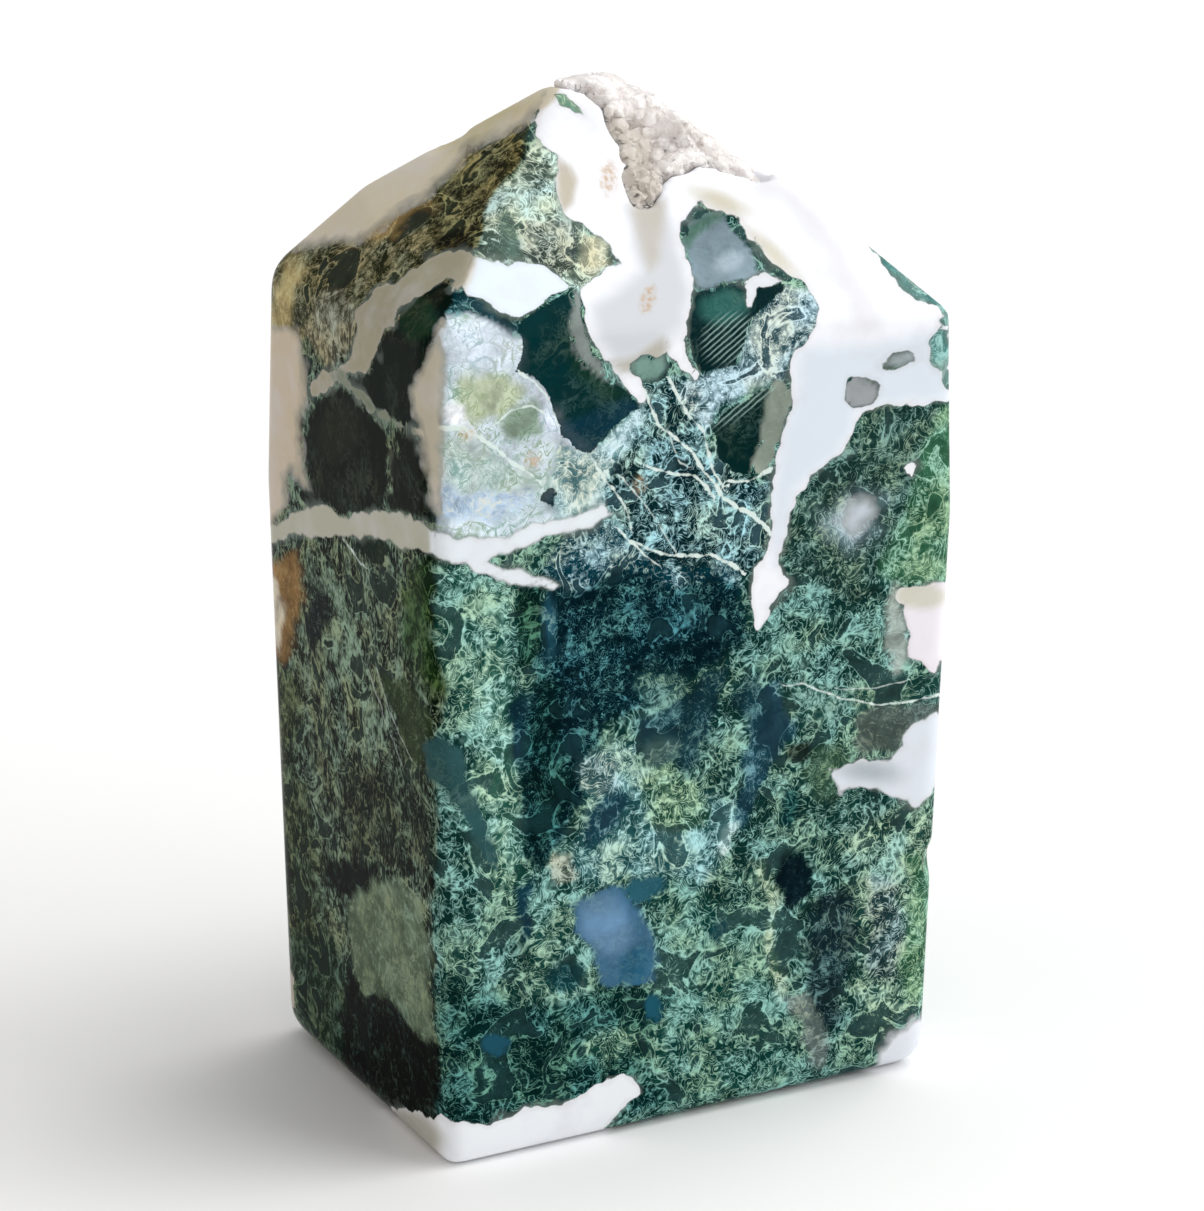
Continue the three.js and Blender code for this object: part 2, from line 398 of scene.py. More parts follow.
GREAT_VEIN = (
    (541, 98), (535, 135), (545, 148), (560, 160), (568, 175), (562, 200), (560, 213), (580, 222),
    (600, 235), (612, 250), (620, 262), (588, 280), (580, 292), (583, 310), (588, 330), (598, 352),
    (611, 366), (618, 382), (632, 392), (640, 402), (648, 398), (640, 380), (636, 368), (650, 352),
    (664, 337), (672, 356), (684, 368), (696, 378), (700, 372), (690, 360), (684, 340), (688, 316),
    (695, 295), (695, 277), (690, 262), (682, 242), (680, 234), (685, 221), (698, 203), (708, 198),
    (726, 206), (739, 224), (759, 242), (774, 259), (787, 277), (805, 285), (815, 308), (815, 328),
    (805, 343), (793, 352), (789, 384), (795, 398), (788, 425), (779, 450), (774, 474), (771, 500),
    (771, 533), (764, 556), (758, 572), (752, 588), (750, 605), (757, 632), (765, 622), (770, 606),
    (779, 598), (789, 588), (785, 574), (778, 556), (781, 533), (784, 519), (790, 499), (807, 492),
    (811, 478), (823, 457), (843, 455), (855, 432), (864, 409), (878, 399), (905, 402), (919, 405),
    (942, 396), (980, 385), (1010, 300), (880, 170), (760, 90), (650, 30), (560, 50), (535, 80),
)

MOSS = (
    # The front
    Area("front moss", Outline((
        (440, 90), (1020, 90), (1020, 1220), (440, 1220),
    )), FRONT_GREEN),
    Area("bottom moss", Outline((
        (440, 980), (520, 1000), (600, 985), (690, 990), (760, 1060), (700, 1100), (640, 1110),
        (440, 1130),
    )), Moss("012423", "70aaa2", 0.26), 30),
    Area("middle of the foot", Outline((
        (650, 880), (740, 900), (770, 960), (800, 1080), (700, 1110), (640, 1080), (680, 1000),
        (660, 940),
    )), Moss("0d3d37", "a2d0c2", 0.33), 26),
    Area(
        "sage brain at the foot", Oval(614, 1047, 30, 17, -8),
        Moss("154239", "aed8c6", 0.36), 8,
    ),
    Area("brain moss", Outline((
        (478, 240), (492, 200), (515, 165), (530, 145), (545, 142), (558, 160), (568, 182), (558, 206),
        (580, 222), (605, 240), (622, 262), (600, 276), (575, 287), (541, 268), (511, 265), (474, 262),
    )), BRAIN, 5),
    Area("moss at the tip", Oval(566, 104, 20, 12, 28), Moss("79a58c", "cbe5d5", 0.42), 4),
    Area("moss in the right edge's gaps", Outline((
        (860, 236), (900, 240), (970, 290), (980, 400), (925, 400), (920, 330), (880, 290),
    )), Moss("4c7b77", "abd2ca", 0.38), 4),
    Area(
        "clear grey in the brain", Oval(514, 232, 11, 24, -8),
        Moss("50665c", "88a095", 0.2), 6,
    ),
    Area("grey brain", Oval(552, 246, 29, 26, 12), GREY_BRAIN, 8),
    Area("straw fan", Oval(602, 250, 18, 20, -30), Moss("8e927c", "e0e2d0", 0.5), 8),
    Area("teal band under the lens", Outline((
        (440, 296), (452, 290), (480, 302), (507, 316), (520, 322), (520, 340), (500, 330), (470, 322),
        (440, 326),
    )), Moss("06343c", "80b0ba", 0.24, 0.5), 5),
    Area("centre moss", Outline((
        (600, 455), (622, 425), (640, 402), (650, 380), (676, 372), (702, 380), (705, 430), (722, 465),
        (752, 478), (775, 480), (768, 560), (745, 582), (640, 572), (600, 556), (585, 520), (590, 480),
    )), CENTRE_TEAL, 12),
    Area("pale ground left of the centre", Outline((
        (428, 324), (470, 318), (518, 335), (524, 372), (562, 425), (594, 452), (592, 500), (575, 528),
        (428, 545),
    )), Moss("cfdce5", "93aea4", 0.32), 6),
    Area(
        "white haze", Oval(476, 350, 40, 24, -10),
        Moss("d2dde8", "b3c3cd", 0.3), 14, once=True,
    ),
    Area("beige-green cloud", Outline((
        (450, 392), (464, 376), (490, 370), (512, 378), (522, 394), (516, 410), (500, 420), (470, 420),
        (454, 410),
    )), Moss("bbc6ab", "94a88e", 0.34), 12, once=True),
    Area("white blob", Oval(452, 414, 11, 11), Moss("f2f6fa", "e4ecf2", 0.1), 6),
    Area("grey-green cloud", Outline((
        (500, 424), (512, 412), (530, 408), (545, 418), (545, 434), (524, 440), (506, 436),
    )), Moss("94a997", "67836f", 0.34), 7, once=True),
    Area("lavender rim of the pale ground", Outline((
        (518, 372), (536, 380), (550, 400), (560, 425), (580, 447), (572, 462), (550, 446), (540, 420),
        (526, 398),
    )), Moss("d5dfeb", "aebcc8", 0.25), 7),
    Area("sage mosaic", Outline((
        (436, 446), (462, 432), (490, 440), (530, 470), (560, 480), (566, 506), (510, 492), (450, 486),
    )), Moss("c8d8d5", "90aaa2", 0.42), 12),
    Area("lavender clouds", Outline((
        (430, 488), (448, 482), (470, 494), (494, 482), (524, 492), (530, 504), (500, 512), (462, 520),
        (432, 524),
    )), Moss("a9c0d6", "dbe6f0", 0.26), 9),
    Area("frost left of the centre", Outline((
        (560, 440), (590, 455), (612, 428), (640, 400), (646, 420), (625, 452), (612, 490), (596, 520),
        (560, 528), (540, 500),
    )), FROST, 12),
    Area("pepper band", Outline((
        (752, 318), (775, 303), (790, 288), (818, 300), (820, 330), (800, 350), (790, 378), (760, 388),
        (735, 400), (715, 415), (705, 432), (694, 420), (675, 395), (690, 378), (715, 372), (738, 368),
        (748, 340),
    )), PEPPER, 5),
    Area("frosted top of the panel", Outline((
        (560, 530), (600, 520), (650, 560), (745, 578), (742, 600), (640, 590), (570, 592), (545, 580),
    )), Moss("023642", "c8e6ec", 0.26, 0.5), 14),
    Area("sage column", Outline((
        (438, 560), (500, 580), (515, 592), (508, 640), (512, 690), (510, 760), (518, 820), (530, 880),
        (512, 905), (490, 880), (470, 850), (462, 800), (470, 760), (456, 720), (440, 680),
    )), SAGE, 10),
    Area("pale tufts of the column", Outline((
        (470, 680), (500, 640), (506, 700), (512, 770), (522, 850), (508, 860), (492, 800), (484, 740),
    )), Moss("285f52", "c0e8da", 0.5, 0.1), 10),
    Area("deep teal panel", Outline((
        (552, 590), (600, 578), (640, 574), (740, 590), (745, 640), (712, 668), (672, 680), (645, 700),
        (612, 728), (592, 755), (580, 800), (560, 850), (538, 872), (526, 850), (524, 760), (528, 680),
        (538, 630),
    )), DEEP_TEAL, 12),
    Area("green side of the panel", Outline((
        (535, 680), (560, 690), (575, 760), (560, 830), (538, 866), (526, 840), (526, 760),
    )), Moss("00191b", "52928f", 0.16, 0.8), 22),
    Area(
        "grey-green tuft in the panel", Oval(664, 682, 24, 18, -20),
        Moss("14393a", "7fa59c", 0.32), 12,
    ),
    Area("slate under the panel", Outline((
        (640, 718), (668, 704), (700, 682), (728, 668), (722, 700), (712, 740), (700, 768), (678, 770),
        (655, 764), (636, 742),
    )), SLATE, 10),
    Area(
        "taupe under the panel", Oval(664, 752, 20, 18, -10),
        Moss("3a5553", "7a9896", 0.2), 16,
    ),
    Area("dark sliver", Outline((
        (514, 598), (538, 592), (540, 620), (534, 662), (514, 664), (516, 632),
    )), Moss("03221d", "5a9280", 0.24), 5),
    Area(
        "steel-blue strip", Oval(550, 625, 7, 32, 3),
        Moss("1f4d5c", "6f9aa6", 0.3, 0.6), 5,
    ),
    Area("slate sliver", Oval(519, 732, 9, 36), Moss("0c2f3a", "5f8d92", 0.12, 0.5), 6),
    Area("pale sage moss", Outline((
        (584, 752), (612, 742), (636, 746), (640, 770), (700, 790), (728, 800), (728, 850), (700, 878),
        (640, 876), (592, 880), (572, 862), (585, 820), (580, 780),
    )), PALE_SAGE, 10),
    Area("chalky lumps", Oval(600, 772, 22, 24, 20), Moss("305456", "cce4e6", 0.34), 8),
    Area("lime brain", Outline((
        (646, 790), (660, 770), (680, 768), (694, 782), (704, 806), (698, 826), (672, 832), (650, 822),
        (640, 806),
    )), LIME, 7, once=True),
    Area("navy pocket", Outline((
        (592, 806), (604, 792), (622, 788), (630, 800), (618, 820), (604, 842), (590, 856), (586, 838),
    )), NAVY, 6),
    Area("long navy pocket", Outline((
        (756, 690), (774, 682), (792, 690), (790, 730), (764, 762), (750, 796), (738, 830), (724, 820),
        (734, 782), (746, 745),
    )), NAVY, 7),
    Area("slate behind it", Oval(755, 700, 16, 22), SLATE, 10),
    Area("brown-grey knot", Oval(798, 752, 14, 14), Moss("16261f", "62756c", 0.2), 6),
    Area("dark teal knot", Oval(789, 812, 12, 20), Moss("06282c", "4f8f90", 0.2), 6),
    Area("navy bay", Outline((
        (784, 862), (802, 852), (814, 868), (808, 890), (796, 908), (782, 904), (778, 884),
    )), Moss("03141a", "1a3038", 0.02), 5),
    Area("slate bay", Outline((
        (818, 900), (840, 885), (852, 900), (846, 950), (842, 1000), (826, 1034), (808, 1010),
        (806, 960),
    )), Moss("10262c", "6a8a88", 0.22), 10),
    Area("slate-green field", Outline((
        (866, 408), (905, 402), (935, 405), (920, 470), (905, 540), (880, 600), (850, 612), (800, 575),
        (783, 545), (790, 505), (812, 492), (815, 478), (845, 458),
    )), SLATE_GREEN, 8),
    Area("lilac glow", Outline((
        (822, 532), (830, 510), (856, 498), (880, 502), (884, 516), (866, 534), (840, 548),
    )), Moss("6a8287", "c4d4da", 0.3), 34, once=True),
    Area("leaf-green side", Outline((
        (935, 405), (960, 400), (960, 590), (900, 592), (884, 580), (898, 540), (912, 480),
    )), LEAF, 14),
    Area("sage band", Outline((
        (778, 690), (805, 682), (845, 690), (905, 680), (945, 672), (945, 700), (900, 704), (850, 712),
        (800, 730),
    )), Moss("17403a", "9cc0b2", 0.32), 8),
    Area("clear taupe over the spur", Outline((
        (862, 712), (885, 704), (925, 703), (950, 700), (950, 716), (912, 724), (903, 737), (893, 752),
        (862, 758), (850, 738),
    )), CLEAR_GREY, 6),
    Area("olive pocket", Oval(828, 772, 22, 30, 20), Moss("2a4638", "7a9a84", 0.22), 10),
    Area(
        "taupe by the edge patch", Oval(899, 632, 10, 36, 4),
        Moss("9aa8a0", "c0c8c2", 0.3), 6,
    ),
    Area("lower right moss", Outline((
        (850, 812), (900, 806), (940, 812), (935, 1000), (905, 1020), (880, 1040), (855, 1000),
        (850, 900),
    )), Moss("1a423c", "b8dccc", 0.4), 22),
    Area("lilac threads", Outline((
        (868, 876), (890, 880), (904, 920), (898, 985), (870, 980), (856, 940),
    )), Moss("1d3a3d", "c0d8d6", 0.34), 10),
    Area("leaf-green edge", Outline((
        (905, 862), (940, 858), (938, 1000), (915, 1000), (900, 960), (912, 910),
    )), LEAF, 12),
    Area("pale column", Outline((
        (756, 862), (772, 866), (780, 900), (776, 950), (790, 990), (778, 1000), (764, 960), (766, 905),
    )), Moss("345848", "c6e0d0", 0.5), 5),
    Area("cream lumps", Oval(562, 866, 14, 14), Moss("3a4a40", "c9cdbb", 0.5), 5),
    Area("beige lumps", Oval(722, 836, 10, 16), Moss("6f9291", "e0f0ec", 0.6), 5),
    Area("green moss by the pool", Outline((
        (545, 885), (575, 900), (590, 950), (596, 995), (560, 1000), (530, 970), (524, 920),
    )), Moss("13423c", "a8d2c6", 0.4), 14),
    Area("dark oval pocket", Oval(566, 975, 20, 15, 25), Moss("103a3e", "66989a", 0.16), 4),
    Area("navy crack", Outline((
        (519, 884), (530, 882), (534, 915), (526, 946), (519, 930),
    )), Moss("103440", "6f989e", 0.06, 0.3), 3),
    Area("taupe at the foot", Outline((
        (782, 994), (806, 996), (820, 1030), (830, 1044), (824, 1072), (808, 1060), (798, 1030),
    )), Moss("5e6d6a", "a0b0ab", 0.3), 8),
    # The left side, its colours darkened partly by painted shade as well as by their own tone
    Area("left felt", Outline((
        (180, 200), (437, 330), (437, 1220), (180, 1220),
    )), FELT_IN_PAINTED_SHADE),
    Area("left roof moss", Outline((
        (180, 340), (300, 230), (560, 80), (530, 130), (497, 190), (475, 238), (456, 286), (437, 310),
        (437, 340),
    )), ROOF_MOSS_IN_PAINTED_SHADE, 4),
    Area("brown roof moss", Outline((
        (410, 210), (434, 180), (450, 165), (466, 147), (490, 145), (523, 122), (540, 112), (530, 140),
        (512, 165), (497, 192), (475, 240), (463, 262), (430, 262), (405, 262), (430, 240), (425, 220),
    )), BROWN_IN_PAINTED_SHADE, 8),
    Area("dark knot", Oval(446, 240, 20, 16), Moss("060502", "4c4a30", 0.2), 8),
    Area("grey felt by the zigzag", Outline((
        (318, 300), (340, 292), (356, 312), (354, 350), (340, 366), (320, 364), (306, 340),
    )), Moss("474635", "b6b49f", 0.42, 0.1, 0.8), 10),
    Area("straw shoulder", Oval(281, 296, 14, 40, 10), Moss("a8996a", "d4c596", 0.25), 16),
    Area("amber roof strip", Oval(392, 226, 40, 9, -24), Moss("846f48", "b8a67a", 0.3), 9),
    Area(
        "lilac margin of the felt", Oval(316, 690, 12, 130, -4),
        Moss("07130b", "8b9c86", 0.42, 0.1, 0.8), 12,
    ),
    Area("pale felt column", Outline((
        (316, 585), (350, 575), (366, 640), (382, 720), (396, 790), (384, 830), (366, 800), (350, 720),
        (328, 660),
    )), Moss("06140b", "97ab92", 0.46, 0.1, 0.8), 12),
    Area(
        "slate stripe of the felt", Oval(318, 618, 7, 34),
        Moss("0a1616", "50605c", 0.15), 6,
    ),
    Area("brown-grey deep", Outline((
        (345, 770), (380, 762), (420, 780), (430, 850), (400, 870), (350, 860), (332, 820),
    )), GREY_IN_PAINTED_SHADE, 20),
    # Light glowing through the translucent front-left edge, painted in as greener olive moss
    Area("painted olive glow by the front edge", Outline((
        (402, 562), (437, 560), (437, 700), (418, 690), (404, 640),
    )), OLIVE_IN_PAINTED_SHADE, 16),
    Area("olive plain", Outline((
        (384, 670), (412, 680), (430, 720), (426, 768), (408, 764), (394, 722),
    )), Moss("26351f", "606f55", 0.12), 8),
    Area("olive margin", Outline((
        (262, 660), (292, 670), (300, 760), (318, 850), (320, 950), (300, 960), (284, 900), (272, 780),
    )), Moss("0c1c0a", "74846a", 0.34, 0.2, 0.8), 10),
    Area("near-black bed", Outline((
        (320, 862), (352, 858), (382, 872), (370, 896), (344, 896), (322, 888),
    )), NIGHT_IN_PAINTED_SHADE, 12),
    Area("green foot of the left side", Outline((
        (286, 930), (320, 934), (346, 980), (352, 1060), (330, 1060), (300, 1030),
    )), Moss("03200f", "647a68", 0.34, 0.1, 0.7), 12),
    # A reflection of the floor on the polished left side, painted as a pale patch; its crisp lower edge is
    # the painted reflection's edge
    Area("painted reflection on the left foot", Outline((
        (346, 905), (360, 888), (392, 884), (418, 902), (432, 950), (434, 1046), (418, 1030),
        (395, 1008), (370, 986), (352, 960),
    )), Moss("5c6d59", "8a9b85", 0.34, 0.1, 0.5), 9, once=True),
    Area("night foot", Outline((
        (346, 966), (368, 988), (395, 1011), (418, 1033), (440, 1052), (442, 1130), (390, 1116),
        (350, 1080), (340, 1010),
    )), NIGHT_IN_PAINTED_SHADE, 7),
    Area("tan streak", Outline((
        (250, 560), (296, 556), (302, 590), (296, 650), (284, 662), (250, 655),
    )), Moss("7d6038", "a3855a", 0.2), 14),
    Area("white margin of the streak", Outline((
        (230, 575), (280, 580), (283, 610), (280, 645), (230, 650),
    )), Moss("c4baa6", "d5ccbb", 0.2), 5),
)

# Clear and tinted pockets in the moss
POCKETS = (
    Area("ink spot", Outline((
        (540, 494), (548, 486), (554, 494), (550, 504), (542, 505),
    )), "04222f", 3),
    Area("lavender window", Outline((
        (684, 240), (693, 226), (706, 214), (720, 216), (736, 232), (756, 258), (760, 276), (740, 282),
        (700, 288), (695, 275), (690, 260),
    )), "7f929c", 5, 4, blur=2),
    Area("bright heart of the window", Oval(730, 262, 14, 9, -20), "a9bac6", 10),
    Area("moss rim of the window", Outline((
        (682, 238), (690, 226), (704, 214), (716, 210), (724, 216), (712, 222), (700, 234), (690, 248),
    )), "54766a", 8),
    Area("dark window", Outline((
        (696, 292), (740, 286), (790, 284), (776, 300), (758, 312), (750, 322), (744, 345), (738, 364),
        (716, 372), (700, 368), (688, 350), (686, 325),
    )), "021f22", 5, 4),
    Area("green top of the dark window", Oval(724, 306, 24, 16, -12), "2a5c56", 12),
    Area("dark triangle", Outline((
        (775, 384), (768, 425), (759, 450), (752, 476), (740, 473), (722, 464), (715, 444), (712, 428),
        (727, 414), (750, 398),
    )), "01201f", 5, 4),
    Area("tan rim", Outline((
        (772, 386), (783, 378), (792, 388), (795, 398), (789, 420), (783, 442), (775, 460), (766, 472),
        (754, 478), (756, 460), (762, 444), (766, 420),
    )), "8e988c", 4, 2),
    Area("diagonal pocket", Outline((
        (518, 321), (528, 311), (542, 307), (555, 295), (566, 292), (571, 308), (567, 326), (571, 344),
        (579, 360), (592, 373), (612, 383), (630, 392), (634, 401), (610, 425), (596, 441), (588, 449),
        (575, 446), (562, 436), (558, 425), (552, 409), (546, 393), (530, 375), (519, 370),
    )), "02292b", 5, 4),
    Area("navy end of the diagonal pocket", Outline((
        (560, 424), (590, 412), (620, 398), (640, 404), (612, 428), (590, 452), (570, 448),
    )), "0a2f3d", 8),
    Area("green side of the diagonal pocket", Outline((
        (566, 340), (580, 362), (600, 380), (632, 392), (612, 402), (588, 392), (570, 366),
    )), "0e2f24", 10),
    Area("taupe edge of the pocket", Outline((
        (570, 290), (580, 290), (583, 310), (585, 332), (598, 362), (613, 382), (600, 376), (586, 364),
        (576, 350), (569, 330), (573, 308),
    )), "7f8885", 4, 2, blur=1.5),
    Area("charcoal panel", Outline((
        (315, 399), (333, 386), (349, 391), (365, 410), (384, 424), (389, 448), (390, 488), (384, 508),
        (365, 511), (341, 512), (328, 501), (308, 507), (298, 496), (309, 488), (304, 448), (308, 413),
    )), "060f08", 5, 3, blur=2),
    Area("brown haze in the panel", Oval(340, 430, 22, 30, 10), "1b1f14", 16),
    Area("pale streaks in the panel", Oval(398, 468, 8, 18, -8), "565b50", 5, 1, blur=3),
    Area("dark green behind the zigzag", Outline((
        (395, 325), (425, 293), (447, 281), (455, 292), (448, 315), (437, 336), (424, 367), (411, 389),
        (412, 408), (420, 427), (405, 425), (389, 417), (375, 406), (362, 393), (345, 377), (370, 374),
        (379, 346), (387, 331),
    )), "04100a", 5, 3, blur=1.5),
    Area("green in the dark wedge", Oval(418, 318, 20, 22, -30), "123020", 10),
    Area("dark strip by the front edge", Outline((
        (389, 430), (420, 438), (424, 448), (427, 475), (430, 503), (434, 525), (412, 512), (388, 512),
        (392, 488), (396, 450),
    )), "0a110a", 5, 3, blur=3),
    Area("green triangle", Outline((
        (349, 538), (392, 543), (388, 556), (381, 567), (368, 560),
    )), "081d10", 4, 2),
    Area("blue pool", Outline((
        (574, 904), (590, 894), (612, 886), (630, 893), (640, 912), (650, 934), (660, 962), (657, 980),
        (636, 982), (616, 990), (600, 984), (596, 962), (590, 946), (577, 932),
    )), "3f6784", 6, 5, blur=4),
    Area("bright heart of the pool", Oval(606, 925, 22, 34, -24), "6488a8", 16),
    Area("neck of the pool", Outline((
        (622, 890), (634, 880), (664, 876), (666, 892), (648, 902), (634, 904),
    )), "265563", 6, 2, blur=3),
    Area("shade of the pool", Outline((
        (620, 960), (640, 940), (652, 955), (653, 975), (640, 986), (620, 984),
    )), "2a5f7c", 18),
    Area("small blue pool", Oval(657, 1010, 9, 15, -10), "1a4c5c", 5, 2, blur=2.5),
    Area("blue drop", Oval(499, 1045, 15, 11), "1e5062", 5, 2, blur=2.5),
    Area("blue chip", Oval(719, 932, 8, 14, 15), "12414a", 5, 2, blur=2.5),
    Area("slate pool on the edge", Outline((
        (423, 745), (440, 733), (458, 748), (466, 776), (478, 800), (496, 850), (498, 872), (480, 850),
        (462, 812), (444, 792), (428, 775),
    )), "2b4e50", 6, 3, blur=3),
)

# White chalcedony over both
VEINS = (
    Area("great vein", Outline(GREAT_VEIN), SNOW, 5, 5),
    Area("lilac lobe", Outline((
        (628, 205), (641, 208), (664, 210), (676, 232), (686, 258), (692, 288), (684, 330), (662, 338),
        (640, 356), (616, 366), (598, 340), (590, 305), (612, 290), (640, 270), (636, 236),
    )), LILAC, 26),
    Area("clear throat under the crystals", Outline((
        (630, 204), (648, 200), (664, 203), (666, 222), (660, 262), (650, 270), (644, 250), (636, 230),
    )), "c2bdb4", 18),
    Area("clear bottom of the lobe", Outline((
        (612, 364), (636, 354), (660, 336), (668, 344), (660, 366), (640, 372), (622, 374),
    )), "b8b5aa", 12),
    Area("tan by the brain moss", Outline((
        (556, 158), (568, 166), (576, 180), (572, 205), (560, 214), (555, 190),
    )), "c2bbab", 10),
    Area("cream in the arch", Oval(720, 202, 26, 9, 20), "cfcab8", 14),
    Area("cream right of the arch", Oval(772, 252, 34, 7, 44), "d6d2c2", 12),
    Area("quiet part of the right vein", Outline((
        (800, 350), (870, 340), (950, 330), (950, 400), (860, 410), (840, 450), (800, 490), (778, 560),
        (770, 520), (784, 450), (796, 400),
    )), "dae3ec", 24),
    Area("grey seam", Thread((
        (755, 180), (785, 190), (815, 220), (835, 250), (850, 285), (866, 318),
    ), 8, 14), "e8e8ec", 22),
    Area("lens", Outline((
        (458, 285), (469, 264), (475, 256), (497, 262), (530, 262), (546, 266), (560, 278), (572, 286),
        (562, 293), (550, 297), (534, 309), (518, 317), (507, 315), (481, 301), (462, 289),
    )), "e4eff8", 4, 4, once=True),
    Area("beige corner of the lens", Oval(461, 276, 8, 20, 25), "dcd8d0", 7, 3),
    # The left side's whites among those that follow (zigzag, branch, band, margins, roof margin and front
    # edge strip) are greyed and warmed partly by painted shade, partly by their own tint
    Area("zigzag vein", Outline((
        (475, 249), (470, 262), (458, 286), (446, 279), (424, 292), (395, 311), (395, 325), (387, 330),
        (379, 346), (370, 373), (349, 373), (338, 380), (333, 384), (320, 394), (309, 398), (306, 386),
        (320, 371), (338, 367), (350, 362), (354, 346), (357, 312), (375, 289), (394, 284), (409, 269),
        (429, 257), (439, 253),
    )), "a09c86", 4, 4),
    Area("thin branch", Thread((
        (338, 376), (360, 394), (375, 410), (392, 422), (424, 433),
    ), 3.4, 3.4), "747f6b", 3, 4),
    Area("left band", Outline((
        (240, 525), (277, 523), (293, 512), (309, 508), (330, 504), (341, 515), (376, 512), (400, 512),
        (427, 526), (438, 539), (440, 558), (420, 552), (400, 547), (389, 540), (344, 534), (322, 539),
        (304, 536), (288, 534), (277, 542), (240, 545),
    )), "b4b5a4", 4, 4, blur=1.2),
    Area("front end of the band", Outline((
        (434, 530), (454, 539), (478, 536), (507, 536), (531, 523), (560, 520), (604, 505), (612, 514),
        (590, 528), (560, 534), (530, 544), (500, 554), (485, 560), (512, 568), (540, 576), (562, 586),
        (556, 592), (530, 588), (507, 582), (478, 574), (459, 563), (434, 556),
    )), "e6edf2", 4, 4, blur=1.5),
    Area("left margin", Outline((
        (230, 322), (296, 330), (304, 367), (304, 389), (301, 410), (299, 429), (302, 461), (307, 488),
        (298, 477), (293, 466), (286, 474), (284, 507), (270, 520), (230, 520),
    )), BEIGE_IN_PAINTED_SHADE, 6, 4, blur=6),
    Area("lower left margin", Outline((
        (230, 930), (288, 932), (292, 980), (296, 1010), (230, 1010),
    )), "c0b8aa", 3, 3),
    Area("roof margin", Outline((
        (200, 290), (270, 250), (312, 243), (342, 240), (357, 240), (374, 231), (394, 214), (409, 204),
        (424, 200), (434, 184), (456, 167), (469, 144), (499, 135), (524, 124), (540, 108), (552, 96),
        (565, 60), (400, 90), (250, 180),
    )), "cec5b0", 6, 4, blur=7),
    Area("olive haze on the roof margin", Oval(485, 126, 50, 9, -28), "bfb694", 10),
    Area("front edge strip", Outline((
        (442, 322), (434, 342), (424, 367), (411, 389), (412, 408), (421, 429), (424, 448), (427, 475),
        (431, 505), (441, 520), (441, 420), (443, 360),
    )), "bdb5a2", 6, 4, blur=5),
    Area("base corner", Outline((
        (370, 1100), (389, 1111), (404, 1106), (412, 1111), (428, 1119), (438, 1116), (459, 1121),
        (485, 1124), (501, 1121), (525, 1108), (538, 1106), (564, 1106), (579, 1095), (600, 1085),
        (624, 1074), (634, 1082), (640, 1093), (626, 1105), (610, 1124), (596, 1160), (454, 1200),
        (360, 1150),
    )), "eff2f6", 5, 5),
    Area("warm end of the base corner", Oval(412, 1130, 32, 20, 35), "b6b4aa", 14),
    Area("edge patch", Outline((
        (902, 588), (925, 584), (980, 575), (980, 655), (945, 655), (934, 671), (925, 668), (915, 660),
        (904, 658), (909, 636), (906, 612),
    )), "ebe6ec", 4, 4, blur=1),
    Area("cream top of the edge patch", Oval(922, 597, 26, 12), "cfcdbd", 8),
    Area("heart of the lilac glow", Outline((
        (838, 522), (850, 504), (868, 500), (876, 510), (862, 522), (850, 534),
    )), "bcc7cf", 6, 4, blur=9, once=True),
    Area("spur patch", Outline((
        (980, 704), (945, 712), (928, 716), (912, 725), (904, 733), (902, 750), (886, 759), (869, 766),
        (852, 764), (839, 768), (830, 770), (834, 783), (839, 794), (847, 790), (865, 788), (884, 794),
        (906, 801), (919, 805), (934, 794), (939, 777), (980, 775),
    )), "dbe1e8", 4, 4, blur=1.2),
    Area("grey root of the spur", Oval(872, 772, 28, 11, 6), "adb6bb", 16, once=True),
    Area("foot patch", Outline((
        (950, 990), (930, 1009), (907, 1025), (890, 1037), (881, 1051), (878, 1063), (884, 1090),
        (970, 1080),
    )), "e0e4ea", 5, 4, blur=4),
    Area("little white triangle", Outline((
        (902, 469), (914, 462), (917, 466), (912, 478),
    )), SNOW, 3, 3),
    Area("window shard", Outline((
        (738, 281), (752, 279), (763, 274), (779, 276), (789, 281), (777, 285), (757, 287), (755, 300),
        (750, 314), (746, 306), (747, 288),
    )), "dfe3e8", 3, 3),
)

# Clear inclusions in the white
GAPS = (
    Area("green spot at the tip", Oval(566, 104, 12, 5, 28), "", 4),
    Area("round inclusion", Outline((
        (846, 388), (852, 378), (866, 376), (878, 384), (880, 396), (870, 408), (856, 410), (847, 402),
    )), "8c9092", 3),
    Area("green dots on the edge", Oval(940, 348, 11, 19), "", 4),
    Area("upper green dot", Oval(946, 322, 7, 6), "", 3),
    Area("lower green dot", Oval(947, 380, 6, 10), "", 3),
    Area("grey cloud", Oval(900, 358, 17, 8, -18), "aab4ba", 5),
    Area("teal sliver on the ridge", Outline((
        (868, 247), (885, 254), (910, 276), (950, 302), (950, 318), (937, 309), (917, 301), (902, 288),
        (885, 268),
    )), "", 3),
    Area("clear green spot", Outline((
        (630, 362), (642, 354), (652, 360), (664, 352), (668, 366), (660, 378), (646, 382), (634, 374),
    )), "74948a", 5),
)

